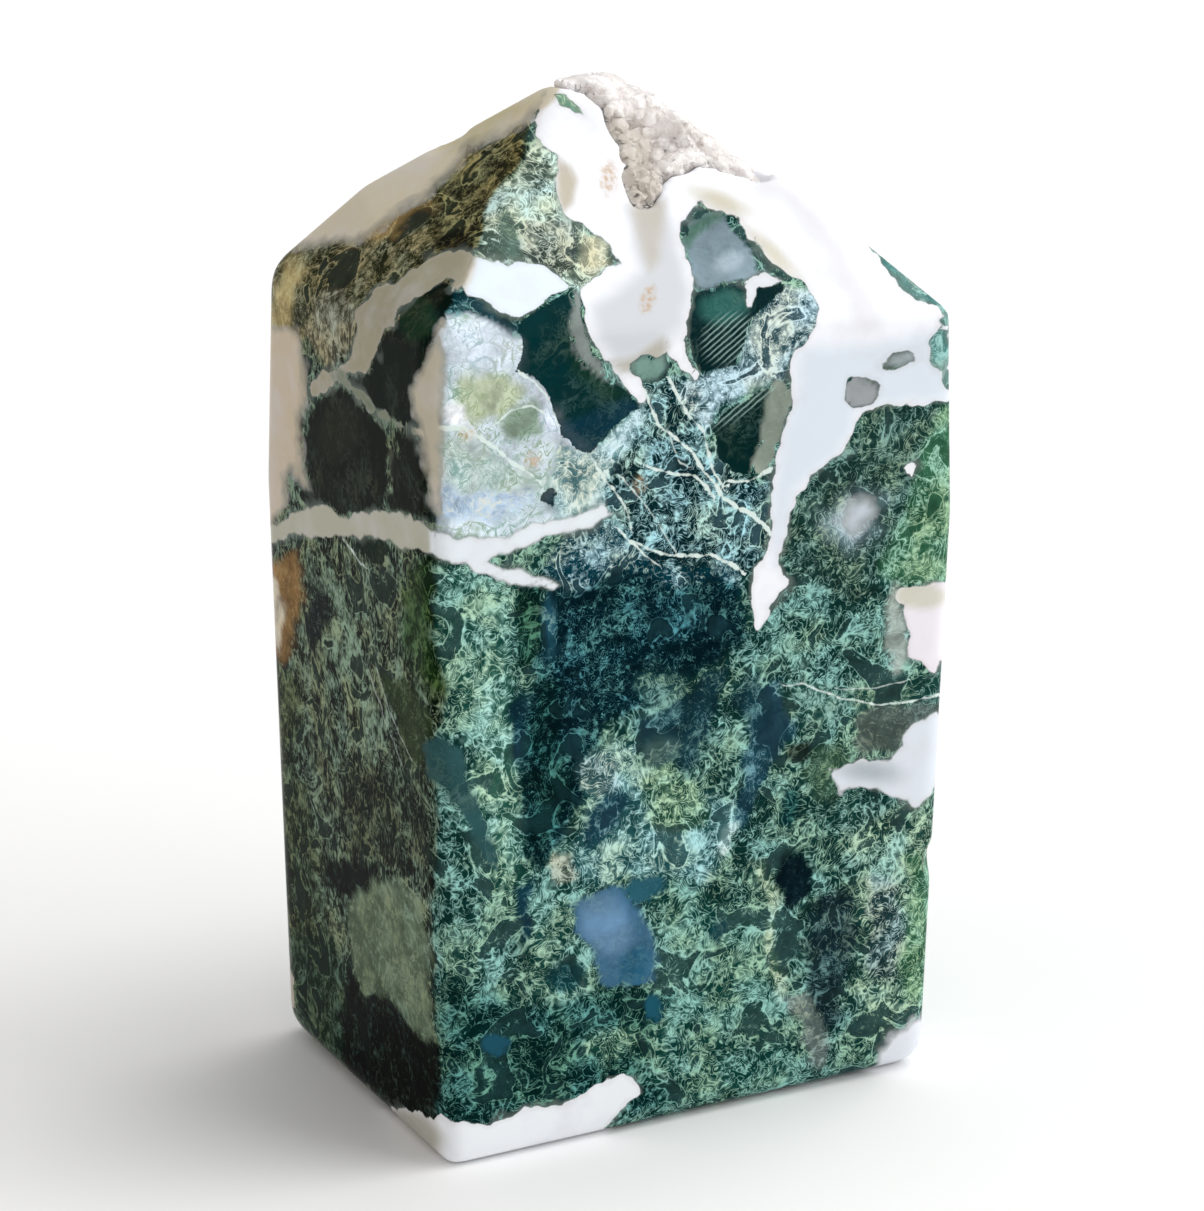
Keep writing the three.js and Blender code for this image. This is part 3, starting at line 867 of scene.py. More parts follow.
# Thin pale fibres
FIBRES = (
    Area("long fibre", Thread((
        (637, 379), (649, 400), (658, 426), (681, 441), (692, 451), (707, 475), (725, 500), (751, 515),
        (771, 532),
    ), 1.6, 3.4)),
    Area("second fibre", Thread((
        (671, 379), (686, 412), (704, 432), (715, 474), (724, 488),
    ), 1.8, 1.4)),
    Area("third fibre", Thread((
        (640, 464), (673, 473), (695, 475), (713, 498),
    ), 1.4, 2.2)),
    Area("fibre to the vein", Thread(((729, 483), (751, 480), (774, 468)), 1.8, 3.0)),
    Area("lower wisp", Thread((
        (618, 529), (632, 542), (658, 552), (680, 555), (710, 555), (727, 562), (744, 573),
    ), 1.4, 3.0)),
    Area("branch of the wisp", Thread(((632, 543), (645, 556), (658, 566)), 2.2, 0.8)),
    Area("fuzzy fibre", Thread((
        (590, 456), (606, 482), (624, 500), (632, 530),
    ), 2.2, 1.0)),
    Area("short fibre", Thread(((667, 432), (679, 461), (690, 467)), 1.0, 0.8)),
    Area("inner fibre", Thread((
        (622, 478), (642, 498), (655, 516), (676, 550),
    ), 1.2, 0.8)),
    Area("fibre of the pale ground", Thread((
        (436, 428), (462, 428), (478, 436), (500, 450), (522, 468), (538, 482),
    ), 3.2, 2.0)),
    Area("arc over the grey cloud", Thread((
        (496, 424), (512, 410), (528, 408), (545, 416),
    ), 1.4, 1.4)),
    Area("rim of the pale ground", Thread((
        (520, 374), (534, 382), (548, 402), (556, 424),
    ), 1.6, 1.6)),
    Area("crinkled rim of the vein", Thread((
        (624, 196), (631, 214), (638, 226), (641, 240), (648, 256), (648, 278), (644, 292),
    ), 1.6, 1.4)),
    Area("offshoot of the band", Thread(((344, 536), (354, 552), (366, 568)), 1.6, 1.0)),
    Area("curved line on the left", Thread((
        (378, 668), (386, 700), (393, 725), (415, 765),
    ), 0.5, 0.5)),
    Area("its neighbour", Thread((
        (370, 668), (378, 700), (386, 730), (402, 762),
    ), 0.4, 0.4)),
    Area("line over the sage band", Thread((
        (782, 686), (804, 684), (839, 699), (882, 705), (923, 699), (943, 694),
    ), 1.0, 1.6)),
    Area("upper line of the sage band", Thread((
        (838, 690), (870, 688), (905, 680),
    ), 0.8, 0.8)),
)

# Rusty and yellow specks
STAINS = (
    Area("rust by the rim", Oval(608, 178, 9, 17), soft=9),
    Area("rust under the hollow", Oval(648, 299, 7, 14, 20), soft=7),
    Area("yellow speck", Oval(467, 434, 8, 6), soft=7),
    Area("amber speck", Oval(533, 460, 8, 7), soft=7),
    Area("olive speck", Oval(640, 484, 5, 8), soft=6),
)

# Fine growth lines in the dark pockets
HATCHING = (
    Area("hatched window", Oval(728, 338, 28, 22, -40), soft=10),
    Area("hatched edge of the triangle", Oval(742, 408, 34, 7, -32), soft=6),
)

AREAS = {
    Layer.MOSS: MOSS,
    Layer.POCKET: POCKETS,
    Layer.VEIN: VEINS,
    Layer.GAP: GAPS,
    Layer.FIBRE: FIBRES,
    Layer.STAIN: STAINS,
    Layer.HATCH: HATCHING,
}


@dataclass
class Skin:
    """A fine skin over a CAD node: an even grid drawn tight on it, with its facets polished away.

    Attributes:
        node: Name of the CAD node.
        name: Name of the piece.
        grid: Spacing of the grid.
        polish: Rounds of smoothing.
    """

    node: str
    name: str
    grid: float = 0.5 * MM
    polish: int = 4

    def build(self) -> bpy.types.Object:
        """Makes the skin as a new object in the row frame."""
        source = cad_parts[self.node]
        draft = place(f"{self.name}_draft", source.data.copy())
        regrid = draft.modifiers.new("grid", "REMESH")
        regrid.mode = "VOXEL"
        regrid.voxel_size = self.grid
        evaluated = draft.evaluated_get(bpy.context.evaluated_depsgraph_get())
        mesh = bpy.data.meshes.new_from_object(evaluated)
        bpy.data.objects.remove(draft)
        mesh.name = self.name
        cad = surface_tree(source.data)
        points = np.array([cad.find_nearest(Vector(point))[0] for point in read_points(mesh)])
        write_points(mesh, spread(mesh, points, self.polish))
        mesh.shade_smooth()
        return place(self.name, mesh)


def spread(
    mesh: bpy.types.Mesh, rows: np.ndarray, rounds: int, free: np.ndarray | float = 1.0
) -> np.ndarray:
    """Moves each point's values halfway to the mean of its neighbours' values, a few times over.

    Args:
        mesh: The mesh, whose edges join the neighbours.
        rows: The values of each point.
        rounds: How many times.
        free: How free each point's values are to change, from 0 to 1.

    Returns:
        The evened values.
    """
    edges = np.zeros(len(mesh.edges) * 2, np.int32)
    mesh.edges.foreach_get("vertices", edges)
    a, b = edges[0::2], edges[1::2]
    count = np.bincount(a, minlength=len(rows)) + np.bincount(b, minlength=len(rows))
    for _ in range(rounds):
        total = np.zeros_like(rows)
        np.add.at(total, a, rows[b])
        np.add.at(total, b, rows[a])
        rows = rows + 0.5 * free * (total / count[:, None] - rows)
    return rows


def read_points(mesh: bpy.types.Mesh) -> np.ndarray:
    """Reads a mesh's points as rows of x, y, z."""
    flat = np.zeros(len(mesh.vertices) * 3)
    mesh.vertices.foreach_get("co", flat)
    return flat.reshape(-1, 3)


def write_points(mesh: bpy.types.Mesh, points: np.ndarray) -> None:
    """Writes rows of x, y, z back to a mesh's points."""
    mesh.vertices.foreach_set("co", points.astype(np.float32).ravel())
    mesh.update()


def write_values(mesh: bpy.types.Mesh, name: str, values: np.ndarray) -> None:
    """Stores a number, or a colour, for each point of a mesh, which a finish can read by its name."""
    kind, part = ("FLOAT", "value") if values.ndim == 1 else ("FLOAT_COLOR", "color")
    store = mesh.attributes.new(name, kind, "POINT")
    store.data.foreach_set(part, values.astype(np.float32).ravel())


def surface_tree(mesh: bpy.types.Mesh) -> BVHTree:
    """Makes a search tree of a mesh's faces."""
    faces = [tuple(face.vertices) for face in mesh.polygons]
    return BVHTree.FromPolygons(read_points(mesh).tolist(), faces)


def hull_tree(mesh: bpy.types.Mesh) -> BVHTree:
    """Makes a search tree of the convex hull round a mesh."""
    shell = bmesh.new()
    for vertex in mesh.vertices:
        shell.verts.new(vertex.co)
    bmesh.ops.convex_hull(shell, input=shell.verts)
    tree = BVHTree.FromBMesh(shell)
    shell.free()
    return tree


@dataclass
class Chart:
    """Looks up where each point of the skin lies in the reference view.

    The hidden sides can't be seen, so they carry on with the stone of the seen ones: a point on them is
    turned over the upright plane through the front right and back left edges, and is moved further from
    its mirror image the further it lies from those edges.

    Attributes:
        hull: The tower's outer form.
        pivot: Height above which the roof's points are turned about one centre.
        drift: How far the markings of the hidden sides wander.
        drift_size: Size of the bends they wander in.
        lift: How much higher the markings lie on the hidden sides.
        settle: How far from the edge they have wandered in full.
        lowest: Least height that a hidden point takes its markings from.
        underside: How far down the skin faces on the underside, and how high that reaches.
        wall: Height at which the walls are looked for from inside.
        view: The reference view.
    """

    hull: BVHTree
    pivot: float = 60 * MM
    drift: float = 12 * MM
    drift_size: float = 22 * MM
    lift: float = 15 * MM
    settle: float = 12 * MM
    lowest: float = 0.5 * MM
    underside: tuple[float, float] = (-0.6, 1.5 * MM)
    wall: float = 1 * MM
    view: ReferenceView = VIEW

    def pixels(self, points: np.ndarray, normals: np.ndarray) -> tuple[np.ndarray, np.ndarray]:
        """Looks all points up.

        Args:
            points: The points.
            normals: The skin's direction at each point.

        Returns:
            Each point's place in the view, hidden points by the place they are folded to, and the cosine
            of the angle between the skin's direction and the view, which is negative on the hidden sides.
        """
        low, high = CAD_BOX
        fold = np.array([high.y - low.y, high.x - low.x, 0])
        fold /= np.linalg.norm(fold)
        to_view = np.array(self.view.position()) - points
        facing = np.einsum("ij,ij->i", to_view, normals) / np.linalg.norm(to_view, axis=1)
        placed = points.copy()
        down, height = self.underside
        for i, point in enumerate(points):
            under = normals[i, 2] < down and point[2] < height
            if under:
                placed[i] = self.up_the_wall(point)
            behind = float(placed[i] @ fold)
            if behind > 0 and (under or facing[i] <= 0):
                placed[i] = self.folded(placed[i], behind, fold)
        return self.view.pixels(placed), facing

    def up_the_wall(self, point: np.ndarray) -> np.ndarray:
        """Turns a point of the base up onto the wall that it lies nearest to."""
        out = Vector((point[0], point[1], 0))
        if out.length < 0.001 * MM:
            out = Vector((1, -1, 0)) * 0.1 * MM
        hit = self.hull.ray_cast(Vector((0, 0, self.wall)), out.normalized())[0]
        if hit is None:
            return point
        inward = max(Vector((hit.x, hit.y)).length - out.length, 0)
        return np.array([hit.x, hit.y, inward])

    def folded(self, point: np.ndarray, behind: float, fold: np.ndarray) -> np.ndarray:
        """Folds a hidden point over to the seen sides.

        Args:
            point: The hidden point.
            behind: How far it lies behind the fold.
            fold: The fold plane's normal.

        Returns:
            The point of the seen sides that it takes its markings from.
        """
        away = float(smooth(np.array(behind), 0.0, self.settle))
        wander = noise.noise_vector(Vector(point) / self.drift_size) * (self.drift * away)
        turned = Vector(point - 2 * behind * fold) + wander
        centre = Vector((0, 0, min(point[2], self.pivot) + wander.z))
        turned.z = max(abs(turned.z - self.lift * away), self.lowest)
        centre.z = max(min(centre.z, turned.z), self.lowest)
        hit = self.hull.ray_cast(centre, (turned - centre).normalized())[0]
        return np.array(hit) if hit else np.array(turned)


@dataclass
class Pattern:
    """Lays the areas on the skin, as values that the stone's finish reads.

    The fibres are kept in a few sets by turns, so that neighbours don't run into each other.

    Attributes:
        areas: The areas of each layer, in the order that they are laid in.
        reach: How far outside an outline its depth is still measured, in pixels.
        wavers: Sizes of the bends that the areas' edges wander in, and how far they wander, in pixels.
        loose: How much of that wandering each layer's edges do.
        softer_is_looser: How much more of it an area does for each pixel that its edge is soft.
        everywhere: The layers that carry on over the hidden sides.
        turning: Depth, in pixels, that the other layers may have where the skin faces the view squarely;
            it falls to nothing where the skin turns away, so that they end on the rounded edges.
        gap_margin: How far a gap's own colour runs on under the white round it, in pixels.
        hatch_pitch: Spacing of the hatching, in pixels.
        hatch_slope: Direction across the hatching.
    """

    areas: dict[Layer, tuple[Area, ...]] = field(default_factory=lambda: AREAS)
    reach: float = 40.0
    wavers: tuple[tuple[float, float], ...] = ((6 * MM, 11.0), (1.7 * MM, 6.0))
    loose: dict[Layer, float] = field(default_factory=lambda: {
        Layer.MOSS: 1.0, Layer.POCKET: 0.3, Layer.VEIN: 0.12, Layer.FIBRE: 0.2, Layer.GAP: 0.3,
    })
    softer_is_looser: float = 0.015
    everywhere: tuple[Layer, ...] = (Layer.MOSS, Layer.VEIN)
    turning: float = 100.0
    gap_margin: float = 2.0
    hatch_pitch: float = 4.8
    hatch_slope: tuple[float, float] = (0.66, 0.75)

    def lay(self, mesh: bpy.types.Mesh, at: np.ndarray, facing: np.ndarray, points: np.ndarray) -> None:
        """Works out every value and stores it on the mesh, with its lengths in millimetres.

        Args:
            mesh: The skin's mesh.
            at: Each point's place in the reference view, in pixels.
            facing: How squarely each point faces the reference view, negative on the hidden sides.
            points: Each point's place on the stone.
        """
        shift = sum(
            reach * np.array([noise.noise_vector(Vector(p) / size)[0:2] for p in points])
            for size, reach in self.wavers
        )
        sheet, lengths = self.bare(len(points))
        for layer, areas in self.areas.items():
            for i, area in enumerate(areas):
                where = at + shift * (self.loose.get(layer, 0.0) + area.soft * self.softer_is_looser)
                if layer is Layer.FIBRE:
                    self.lay_fibre(lengths, area.shape, where, facing, i % FIBRE_SETS)
                else:
                    self.lay_area(sheet, lengths, layer, area, where, facing)
        for i in range(FIBRE_SETS):
            lengths[f"fibre_near_{i}"] = np.abs(lengths[f"fibre_side_{i}"])
        sheet["hatch_phase"] = at @ np.array(self.hatch_slope) / self.hatch_pitch
        in_mm = {name: size / PIXELS_PER_MM for name, size in lengths.items()}
        for name, values in {**sheet, **in_mm}.items():
            write_values(mesh, name, values)

    def bare(self, count: int) -> tuple[dict[str, np.ndarray], dict[str, np.ndarray]]:
        """Makes the values of a stone that is the front's moss all over, for the areas to be laid on.

        Args:
            count: How many points the skin has.

        Returns:
            The colours and shares of every point by name, and its lengths in pixels by name.
        """
        colours = {
            "ground": FRONT_GREEN.ground, "thread": FRONT_GREEN.thread,
            "pocket_tint": INK, "vein_tint": SNOW,
        }
        sheet = {name: np.tile(linear(colour), (count, 1)) for name, colour in colours.items()}
        sheet["growth"] = np.full(count, FRONT_GREEN.growth)
        sheet.update({name: np.zeros(count) for name in ("fine", "streak", "stain", "hatch")})
        lengths = {name: np.full(count, -self.reach) for name in ("pocket_depth", "vein_depth")}
        lengths.update({name: np.full(count, Area.blur) for name in ("pocket_blur", "vein_blur")})
        for i in range(FIBRE_SETS):
            lengths[f"fibre_side_{i}"] = np.full(count, self.reach)
            lengths[f"fibre_half_{i}"] = np.zeros(count)
        return sheet, lengths

    def lay_fibre(
        self, lengths: dict[str, np.ndarray], fibre: Thread, where: np.ndarray, facing: np.ndarray,
        turn: int,
    ) -> None:
        """Lays one fibre on the seen sides.

        Args:
            lengths: The lengths to change, by name.
            fibre: The fibre.
            where: Each point's place in the reference view, in pixels.
            facing: How squarely each point faces the reference view.
            turn: The set that the fibre is kept in.
        """
        side, half = fibre.sides(where)
        side = np.where(facing > 0, side, 2 * self.reach)
        sides, halves = lengths[f"fibre_side_{turn}"], lengths[f"fibre_half_{turn}"]
        nearer = np.abs(side) - half < np.abs(sides) - halves
        sides[nearer], halves[nearer] = side[nearer], half[nearer]

    def lay_area(
        self, sheet: dict[str, np.ndarray], lengths: dict[str, np.ndarray], layer: Layer, area: Area,
        where: np.ndarray, facing: np.ndarray,
    ) -> None:
        """Lays one area of moss, a pocket, a vein, a gap, a stain or hatching.

        Args:
            sheet: The colours and shares to change, by name.
            lengths: The lengths to change, by name.
            layer: The area's layer.
            area: The area.
            where: Each point's place in the reference view, in pixels.
            facing: How squarely each point faces the reference view.
        """
        depth = area.shape.depth(where, self.reach)
        if area.once or layer not in self.everywhere:
            depth = np.minimum(depth, facing * self.turning)
        share = smooth(depth, -area.spread - area.soft / 2, -area.spread + area.soft / 2)
        if layer is Layer.MOSS:
            for name in ("ground", "thread", "growth", "fine", "streak"):
                self.blend(sheet[name], share, getattr(area.fill, name))
        elif layer in (Layer.STAIN, Layer.HATCH):
            sheet[layer.value] = np.maximum(sheet[layer.value], share)
        elif layer is Layer.GAP:
            lengths["vein_depth"] = np.minimum(lengths["vein_depth"], -depth)
            if area.fill:
                lengths["pocket_depth"] = np.maximum(lengths["pocket_depth"], depth + self.gap_margin)
                self.blend(sheet["pocket_tint"], share, area.fill)
        else:
            deeper = depth > lengths[f"{layer.value}_depth"]
            lengths[f"{layer.value}_blur"][deeper] = area.blur
            lengths[f"{layer.value}_depth"][deeper] = depth[deeper]
            self.blend(sheet[f"{layer.value}_tint"], share, area.fill)

    @staticmethod
    def blend(rows: np.ndarray, share: np.ndarray, goal: str | float) -> None:
        """Moves each point's number or colour towards a goal, by the point's own share."""
        if isinstance(goal, str):
            share, goal = share[:, None], np.array(linear(goal))
        rows += share * (goal - rows)


@dataclass(frozen=True)
class PolishedMossAgate:
    """Moss agate, a chalcedony with moss-like threads, ground and polished to a wet gloss.

    The polish gives clear, narrow reflections. The threads lie in clear stone, so they show dark gaps
    between them, and the white chalcedony turns clear and grey where it thins out over them. Sizes are
    in millimetres. The threads are drawn about twice as coarse as they are, so that the render shows them.
    """

    # The polish
    ior: float = 1.54
    reflectance: float = 0.012
    roughness: tuple[float, float] = (0.07, 0.15)
    polish_size: float = 9.0
    # Threads: the noise they follow, how many lie across its range, and how they are drawn
    curl_size: float = 1.5
    curl_bands: float = 7.0
    felt_size: float = 0.6
    felt_bands: float = 4.0
    streak_stretch: float = 0.3
    bend_size: float = 4.0
    bend: float = 2.6
    thread_edge: tuple[float, float] = (0.02, 0.2)
    thread_cover: float = 0.55
    gap_edge: tuple[float, float] = (0.34, 0.5)
    gap_cover: float = -0.12
    # Clumps, buds, clearings and rings of moss, and how much they add to its cover
    clump_size: float = 3.0
    clump_cover: tuple[float, float] = (-0.38, 0.42)
    clump_light: tuple[float, float] = (0.6, 1.4)
    bud_size: float = 0.75
    bud_cover: tuple[float, float] = (0.22, -0.16)
    clearing_size: float = 4.5
    clearing_from: float = 0.57
    clearing_edge: float = 0.05
    clearing_cover: float = -0.5
    clearing_haze: tuple[float, float, float] = (0.07, 0.1, 0.11)
    haze_share: float = 0.8
    rim_width: float = 0.022
    rim_cover: float = 0.6
    lace_size: float = 3.2
    lace_bands: float = 5.0
    lace_width: float = 0.09
    lace_cover: float = 0.4
    covered: tuple[float, float] = (0.16, 1.12)
    drift_size: float = 4.0
    warm: str = "fff9e6"
    cool: str = "f0fcff"
    # Ragged, lumpy edges, of the pockets and of the veins
    ragged_size: float = 1.4
    ragged: tuple[float, float] = (0.4, 0.17)
    lump_size: float = 1.6
    lump_middle: float = 0.45
    lumps: tuple[float, float] = (0.4, 0.6)
    # White chalcedony: the clear margin round it, its thin edge, and its veils
    margin_size: float = 4.5
    margin_width: tuple[float, float] = (0.1, 0.9)
    margin_share: float = 0.65
    margin_colour: str = "6f7a74"
    thin_width: float = 0.5
    thin_share: float = 0.22
    thin_colour: str = "b7b0ac"
    veil_size: float = 6.0
    veil_share: float = 0.35
    veil_colour: str = "d3d2da"
    # Pockets: how much moss shows through, and how their tint clouds
    moss_in_pocket: float = 0.12
    pocket_light: tuple[float, float] = (1.25, 0.75)
    # Fibres, hatching and rust
    fibre_waver: float = 0.09
    fibre_edge: float = 0.05
    fibre_swell: tuple[float, float] = (0.15, 1.25)
    fibre_share: tuple[float, float] = (0.3, 0.95)
    fibre_stout: float = 0.16
    fibre_near: float = 0.5
    fibre_colour: str = "dcebe5"
    wisp_size: float = 0.8
    hatch_waver: float = 0.12
    hatch_line: tuple[float, float] = (0.08, 0.24)
    hatch_share: float = 0.6
    hatch_colour: str = "9fbdb6"
    stain_size: float = 0.5
    stain_share: tuple[float, float] = (0.45, 0.25)
    stain_colour: str = "bf9a68"

    def build(self) -> bpy.types.Material:
        """Makes the material."""
        material = bpy.data.materials.new("polished_moss_agate")
        material.use_nodes = True
        tree = material.node_tree
        tree.nodes.clear()
        colours = ("ground", "thread", "pocket_tint", "vein_tint")
        read = {name: add(tree, "Attribute", attribute_name=name).outputs["Color"] for name in colours}
        values = ["growth", "fine", "streak", "stain", "hatch", "hatch_phase", "pocket_depth", "vein_depth",
                  "pocket_blur", "vein_blur"]
        values += [f"fibre_{what}_{i}" for what in ("side", "half", "near") for i in range(FIBRE_SETS)]
        read.update({name: add(tree, "Attribute", attribute_name=name).outputs["Fac"] for name in values})
        spot = add(tree, "TexCoord").outputs["Object"]
        mm = add(tree, "VectorMath", {0: spot, 1: (1 / MM,) * 3}, operation="MULTIPLY").outputs[0]
        colour = self.chalcedony(tree, mm, read, self.moss(tree, mm, read, self.threads(tree, mm, read)))
        polish = add(tree, "TexNoise", {"Vector": mm, "Scale": 1 / self.polish_size, "Detail": 3.0})
        rough = add(tree, "MapRange", {
            "Value": polish.outputs[0], "From Min": 0.3, "From Max": 0.7,
            "To Min": self.roughness[0], "To Max": self.roughness[1],
        })
        surface = add(tree, "BsdfPrincipled", {
            "Base Color": colour,
            "Roughness": rough.outputs[0],
            "IOR": self.ior,
            "Specular IOR Level": self.reflectance,
        })
        add(tree, "OutputMaterial", {"Surface": surface.outputs[0]})
        return material

    def threads(
        self, tree: bpy.types.NodeTree, mm: bpy.types.NodeSocket, read: dict
    ) -> bpy.types.NodeSocket:
        """Draws the mossy threads: curls, a fine felt, and upright streaks.

        Args:
            tree: The material's node tree.
            mm: The place on the stone, in millimetres.
            read: The skin's values, by name.

        Returns:
            A value that is 0 along the middle of a thread and 0.5 midway between two threads.
        """
        bends = add(tree, "TexNoise", {"Vector": mm, "Scale": 1 / self.bend_size, "Detail": 3.0}).outputs[1]
        pushed = add(tree, "VectorMath", {0: bends, 1: (self.bend,) * 3, 2: mm}, operation="MULTIPLY_ADD")
        bent = pushed.outputs[0]
        stretch = add(tree, "VectorMath", {0: bent, 1: (1, 1, self.streak_stretch)}, operation="MULTIPLY")
        lines = []
        for vector, size, bands in (
            (bent, self.curl_size, self.curl_bands),
            (bent, self.felt_size, self.felt_bands),
            (stretch.outputs[0], self.curl_size, self.curl_bands),
        ):
            rise = add(tree, "TexNoise", {
                "Vector": vector, "Scale": 1 / size, "Detail": 2.0, "Roughness": 0.4, "Distortion": 1.2,
            })
            many = add(tree, "Math", {0: rise.outputs[0], 1: bands}, operation="MULTIPLY")
            lines.append(add(tree, "Math", {0: many.outputs[0], 1: 0.5}, operation="PINGPONG").outputs[0])
        felted = add(tree, "Mix", {0: read["fine"], 2: lines[0], 3: lines[1]}).outputs[0]
        return add(tree, "Mix", {0: read["streak"], 2: felted, 3: lines[2]}).outputs[0]

    def moss(
        self, tree: bpy.types.NodeTree, mm: bpy.types.NodeSocket, read: dict, threads: bpy.types.NodeSocket
    ) -> bpy.types.NodeSocket:
        """Colours the mossy ground and its threads.

        Args:
            tree: The material's node tree.
            mm: The place on the stone, in millimetres.
            read: The skin's values, by name.
            threads: 0 along the middle of a thread, 0.5 midway between two threads.

        Returns:
            The colour of the moss.
        """
        thread = add(tree, "MapRange", {
            "Value": threads, "From Min": self.thread_edge[0], "From Max": self.thread_edge[1],
            "To Min": self.thread_cover, "To Max": 0.0,
        }).outputs[0]
        gap = add(tree, "MapRange", {
            "Value": threads, "From Min": self.gap_edge[0], "From Max": self.gap_edge[1],
            "To Min": 0.0, "To Max": self.gap_cover,
        }).outputs[0]
        tuft = add(tree, "TexNoise", {
            "Vector": mm, "Scale": 1 / self.clump_size, "Detail": 7.0, "Roughness": 0.68, "Distortion": 0.4,
        })
        swing = add(tree, "MapRange", {
            "Value": tuft.outputs[0], "From Min": 0.32, "From Max": 0.68,
            "To Min": self.clump_cover[0], "To Max": self.clump_cover[1],
        })
        clearing = add(tree, "TexNoise", {
            "Vector": mm, "Scale": 1 / self.clearing_size,
            "Detail": 3.0, "Roughness": 0.5, "Distortion": 0.8,
        })
        clear = add(tree, "MapRange", {
            "Value": clearing.outputs[0], "From Min": self.clearing_from,
            "From Max": self.clearing_from + self.clearing_edge,
        }).outputs[0]
        bared = add(tree, "Math", {0: clear, 1: self.clearing_cover, 2: read["growth"]},
                    operation="MULTIPLY_ADD")
        budding = add(tree, "TexVoronoi", {"Vector": mm, "Scale": 1 / self.bud_size, "Smoothness": 0.2},
                      feature="SMOOTH_F1")
        buds = add(tree, "MapRange", {
            "Value": budding.outputs[0], "From Min": 0.1, "From Max": 0.7,
            "To Min": self.bud_cover[0], "To Max": self.bud_cover[1],
        }).outputs[0]
        swung = add(tree, "Math", {0: buds, 1: swing.outputs[0]}, operation="ADD").outputs[0]
        grown = add(tree, "Math", {0: bared.outputs[0], 1: swung}, operation="ADD")
        rounds = add(tree, "TexNoise", {
            "Vector": mm, "Scale": 1 / self.lace_size, "Detail": 2.0, "Distortion": 0.9,
        })
        rings = add(tree, "Math", {0: rounds.outputs[0], 1: self.lace_bands}, operation="MULTIPLY")
        fold = add(tree, "Math", {0: rings.outputs[0], 1: 0.5}, operation="PINGPONG")
        lace = add(tree, "MapRange", {
            "Value": fold.outputs[0], "From Min": 0.0, "From Max": self.lace_width,
            "To Min": self.lace_cover, "To Max": 0.0,
        }).outputs[0]
        laced = add(tree, "Math", {0: thread, 1: lace}, operation="MAXIMUM").outputs[0]
        border = add(tree, "Math", {0: clearing.outputs[0], 1: self.clearing_from}, operation="SUBTRACT")
        border = add(tree, "Math", {0: border.outputs[0]}, operation="ABSOLUTE").outputs[0]
        rim = add(tree, "MapRange", {
            "Value": border, "From Min": 0.0, "From Max": self.rim_width,
            "To Min": self.rim_cover, "To Max": 0.0,
        }).outputs[0]
        laced = add(tree, "Math", {0: laced, 1: rim}, operation="MAXIMUM").outputs[0]
        strung = add(tree, "Math", {0: laced, 1: gap}, operation="ADD").outputs[0]
        woven = add(tree, "Math", {0: strung, 1: grown.outputs[0]}, operation="ADD")
        cover = add(tree, "MapRange", {
            "Value": woven.outputs[0], "From Min": self.covered[0], "From Max": self.covered[1],
        }, interpolation_type="SMOOTHSTEP").outputs[0]
        drift = add(tree, "TexNoise", {"Vector": mm, "Scale": 1 / self.drift_size, "Detail": 2.0}).outputs[0]
        warm = add(tree, "MapRange", {"Value": drift, "From Min": 0.4, "From Max": 0.6}).outputs[0]
        tint = add(tree, "Mix", {0: warm, 6: linear(self.cool), 7: linear(self.warm)},
                   data_type="RGBA").outputs[2]
        thread = add(tree, "Mix", {0: 1.0, 6: read["thread"], 7: tint}, data_type="RGBA",
                     blend_type="MULTIPLY").outputs[2]
        shaded = add(tree, "MapRange", {
            "Value": tuft.outputs[0], "From Min": 0.35, "From Max": 0.65,
            "To Min": self.clump_light[0], "To Max": self.clump_light[1],
        }).outputs[0]
        depth = add(tree, "VectorMath", {0: read["ground"], "Scale": shaded}, operation="SCALE").outputs[0]
        hazy = add(tree, "Math", {0: clear, 1: self.haze_share}, operation="MULTIPLY").outputs[0]
        haze = add(tree, "VectorMath", {0: read["thread"], 1: self.clearing_haze}, operation="MULTIPLY")
        haze = add(tree, "VectorMath", {0: haze.outputs[0], "Scale": shaded}, operation="SCALE")
        depth = add(tree, "Mix", {0: hazy, 6: depth, 7: haze.outputs[0]}, data_type="RGBA",
                    blend_type="LIGHTEN").outputs[2]
        return add(tree, "Mix", {0: cover, 6: depth, 7: thread}, data_type="RGBA").outputs[2]

    def chalcedony(
        self, tree: bpy.types.NodeTree, mm: bpy.types.NodeSocket, read: dict, moss: bpy.types.NodeSocket
    ) -> bpy.types.NodeSocket:
        """Lays the smooth pockets, the white veins, the fibres and the stains over the moss.

        Args:
            tree: The material's node tree.
            mm: The place on the stone, in millimetres.
            read: The skin's values, by name.
            moss: The colour of the moss.

        Returns:
            The colour of the stone.
        """
        crumbs = add(tree, "TexNoise", {
            "Vector": mm, "Scale": 1 / self.ragged_size, "Detail": 3.0, "Roughness": 0.55,
        })
        uneven = add(tree, "MapRange", {
            "Value": crumbs.outputs[0], "From Min": 0.25, "From Max": 0.75, "To Min": -1.0, "To Max": 1.0,
        }).outputs[0]
        cells = add(tree, "TexVoronoi", {"Vector": mm, "Scale": 1 / self.lump_size, "Smoothness": 0.3},
                    feature="SMOOTH_F1")
        lump = add(tree, "Math", {0: self.lump_middle, 1: cells.outputs[0]}, operation="SUBTRACT").outputs[0]
        edges, shares = {}, {}
        for name, size, lumps in zip(("pocket", "vein"), self.ragged, self.lumps):
            depth, blur = read[f"{name}_depth"], read[f"{name}_blur"]
            edge = add(tree, "Math", {0: uneven, 1: size, 2: depth}, operation="MULTIPLY_ADD")
            edge = add(tree, "Math", {0: lump, 1: lumps, 2: edge.outputs[0]}, operation="MULTIPLY_ADD")
            edges[name] = edge.outputs[0]
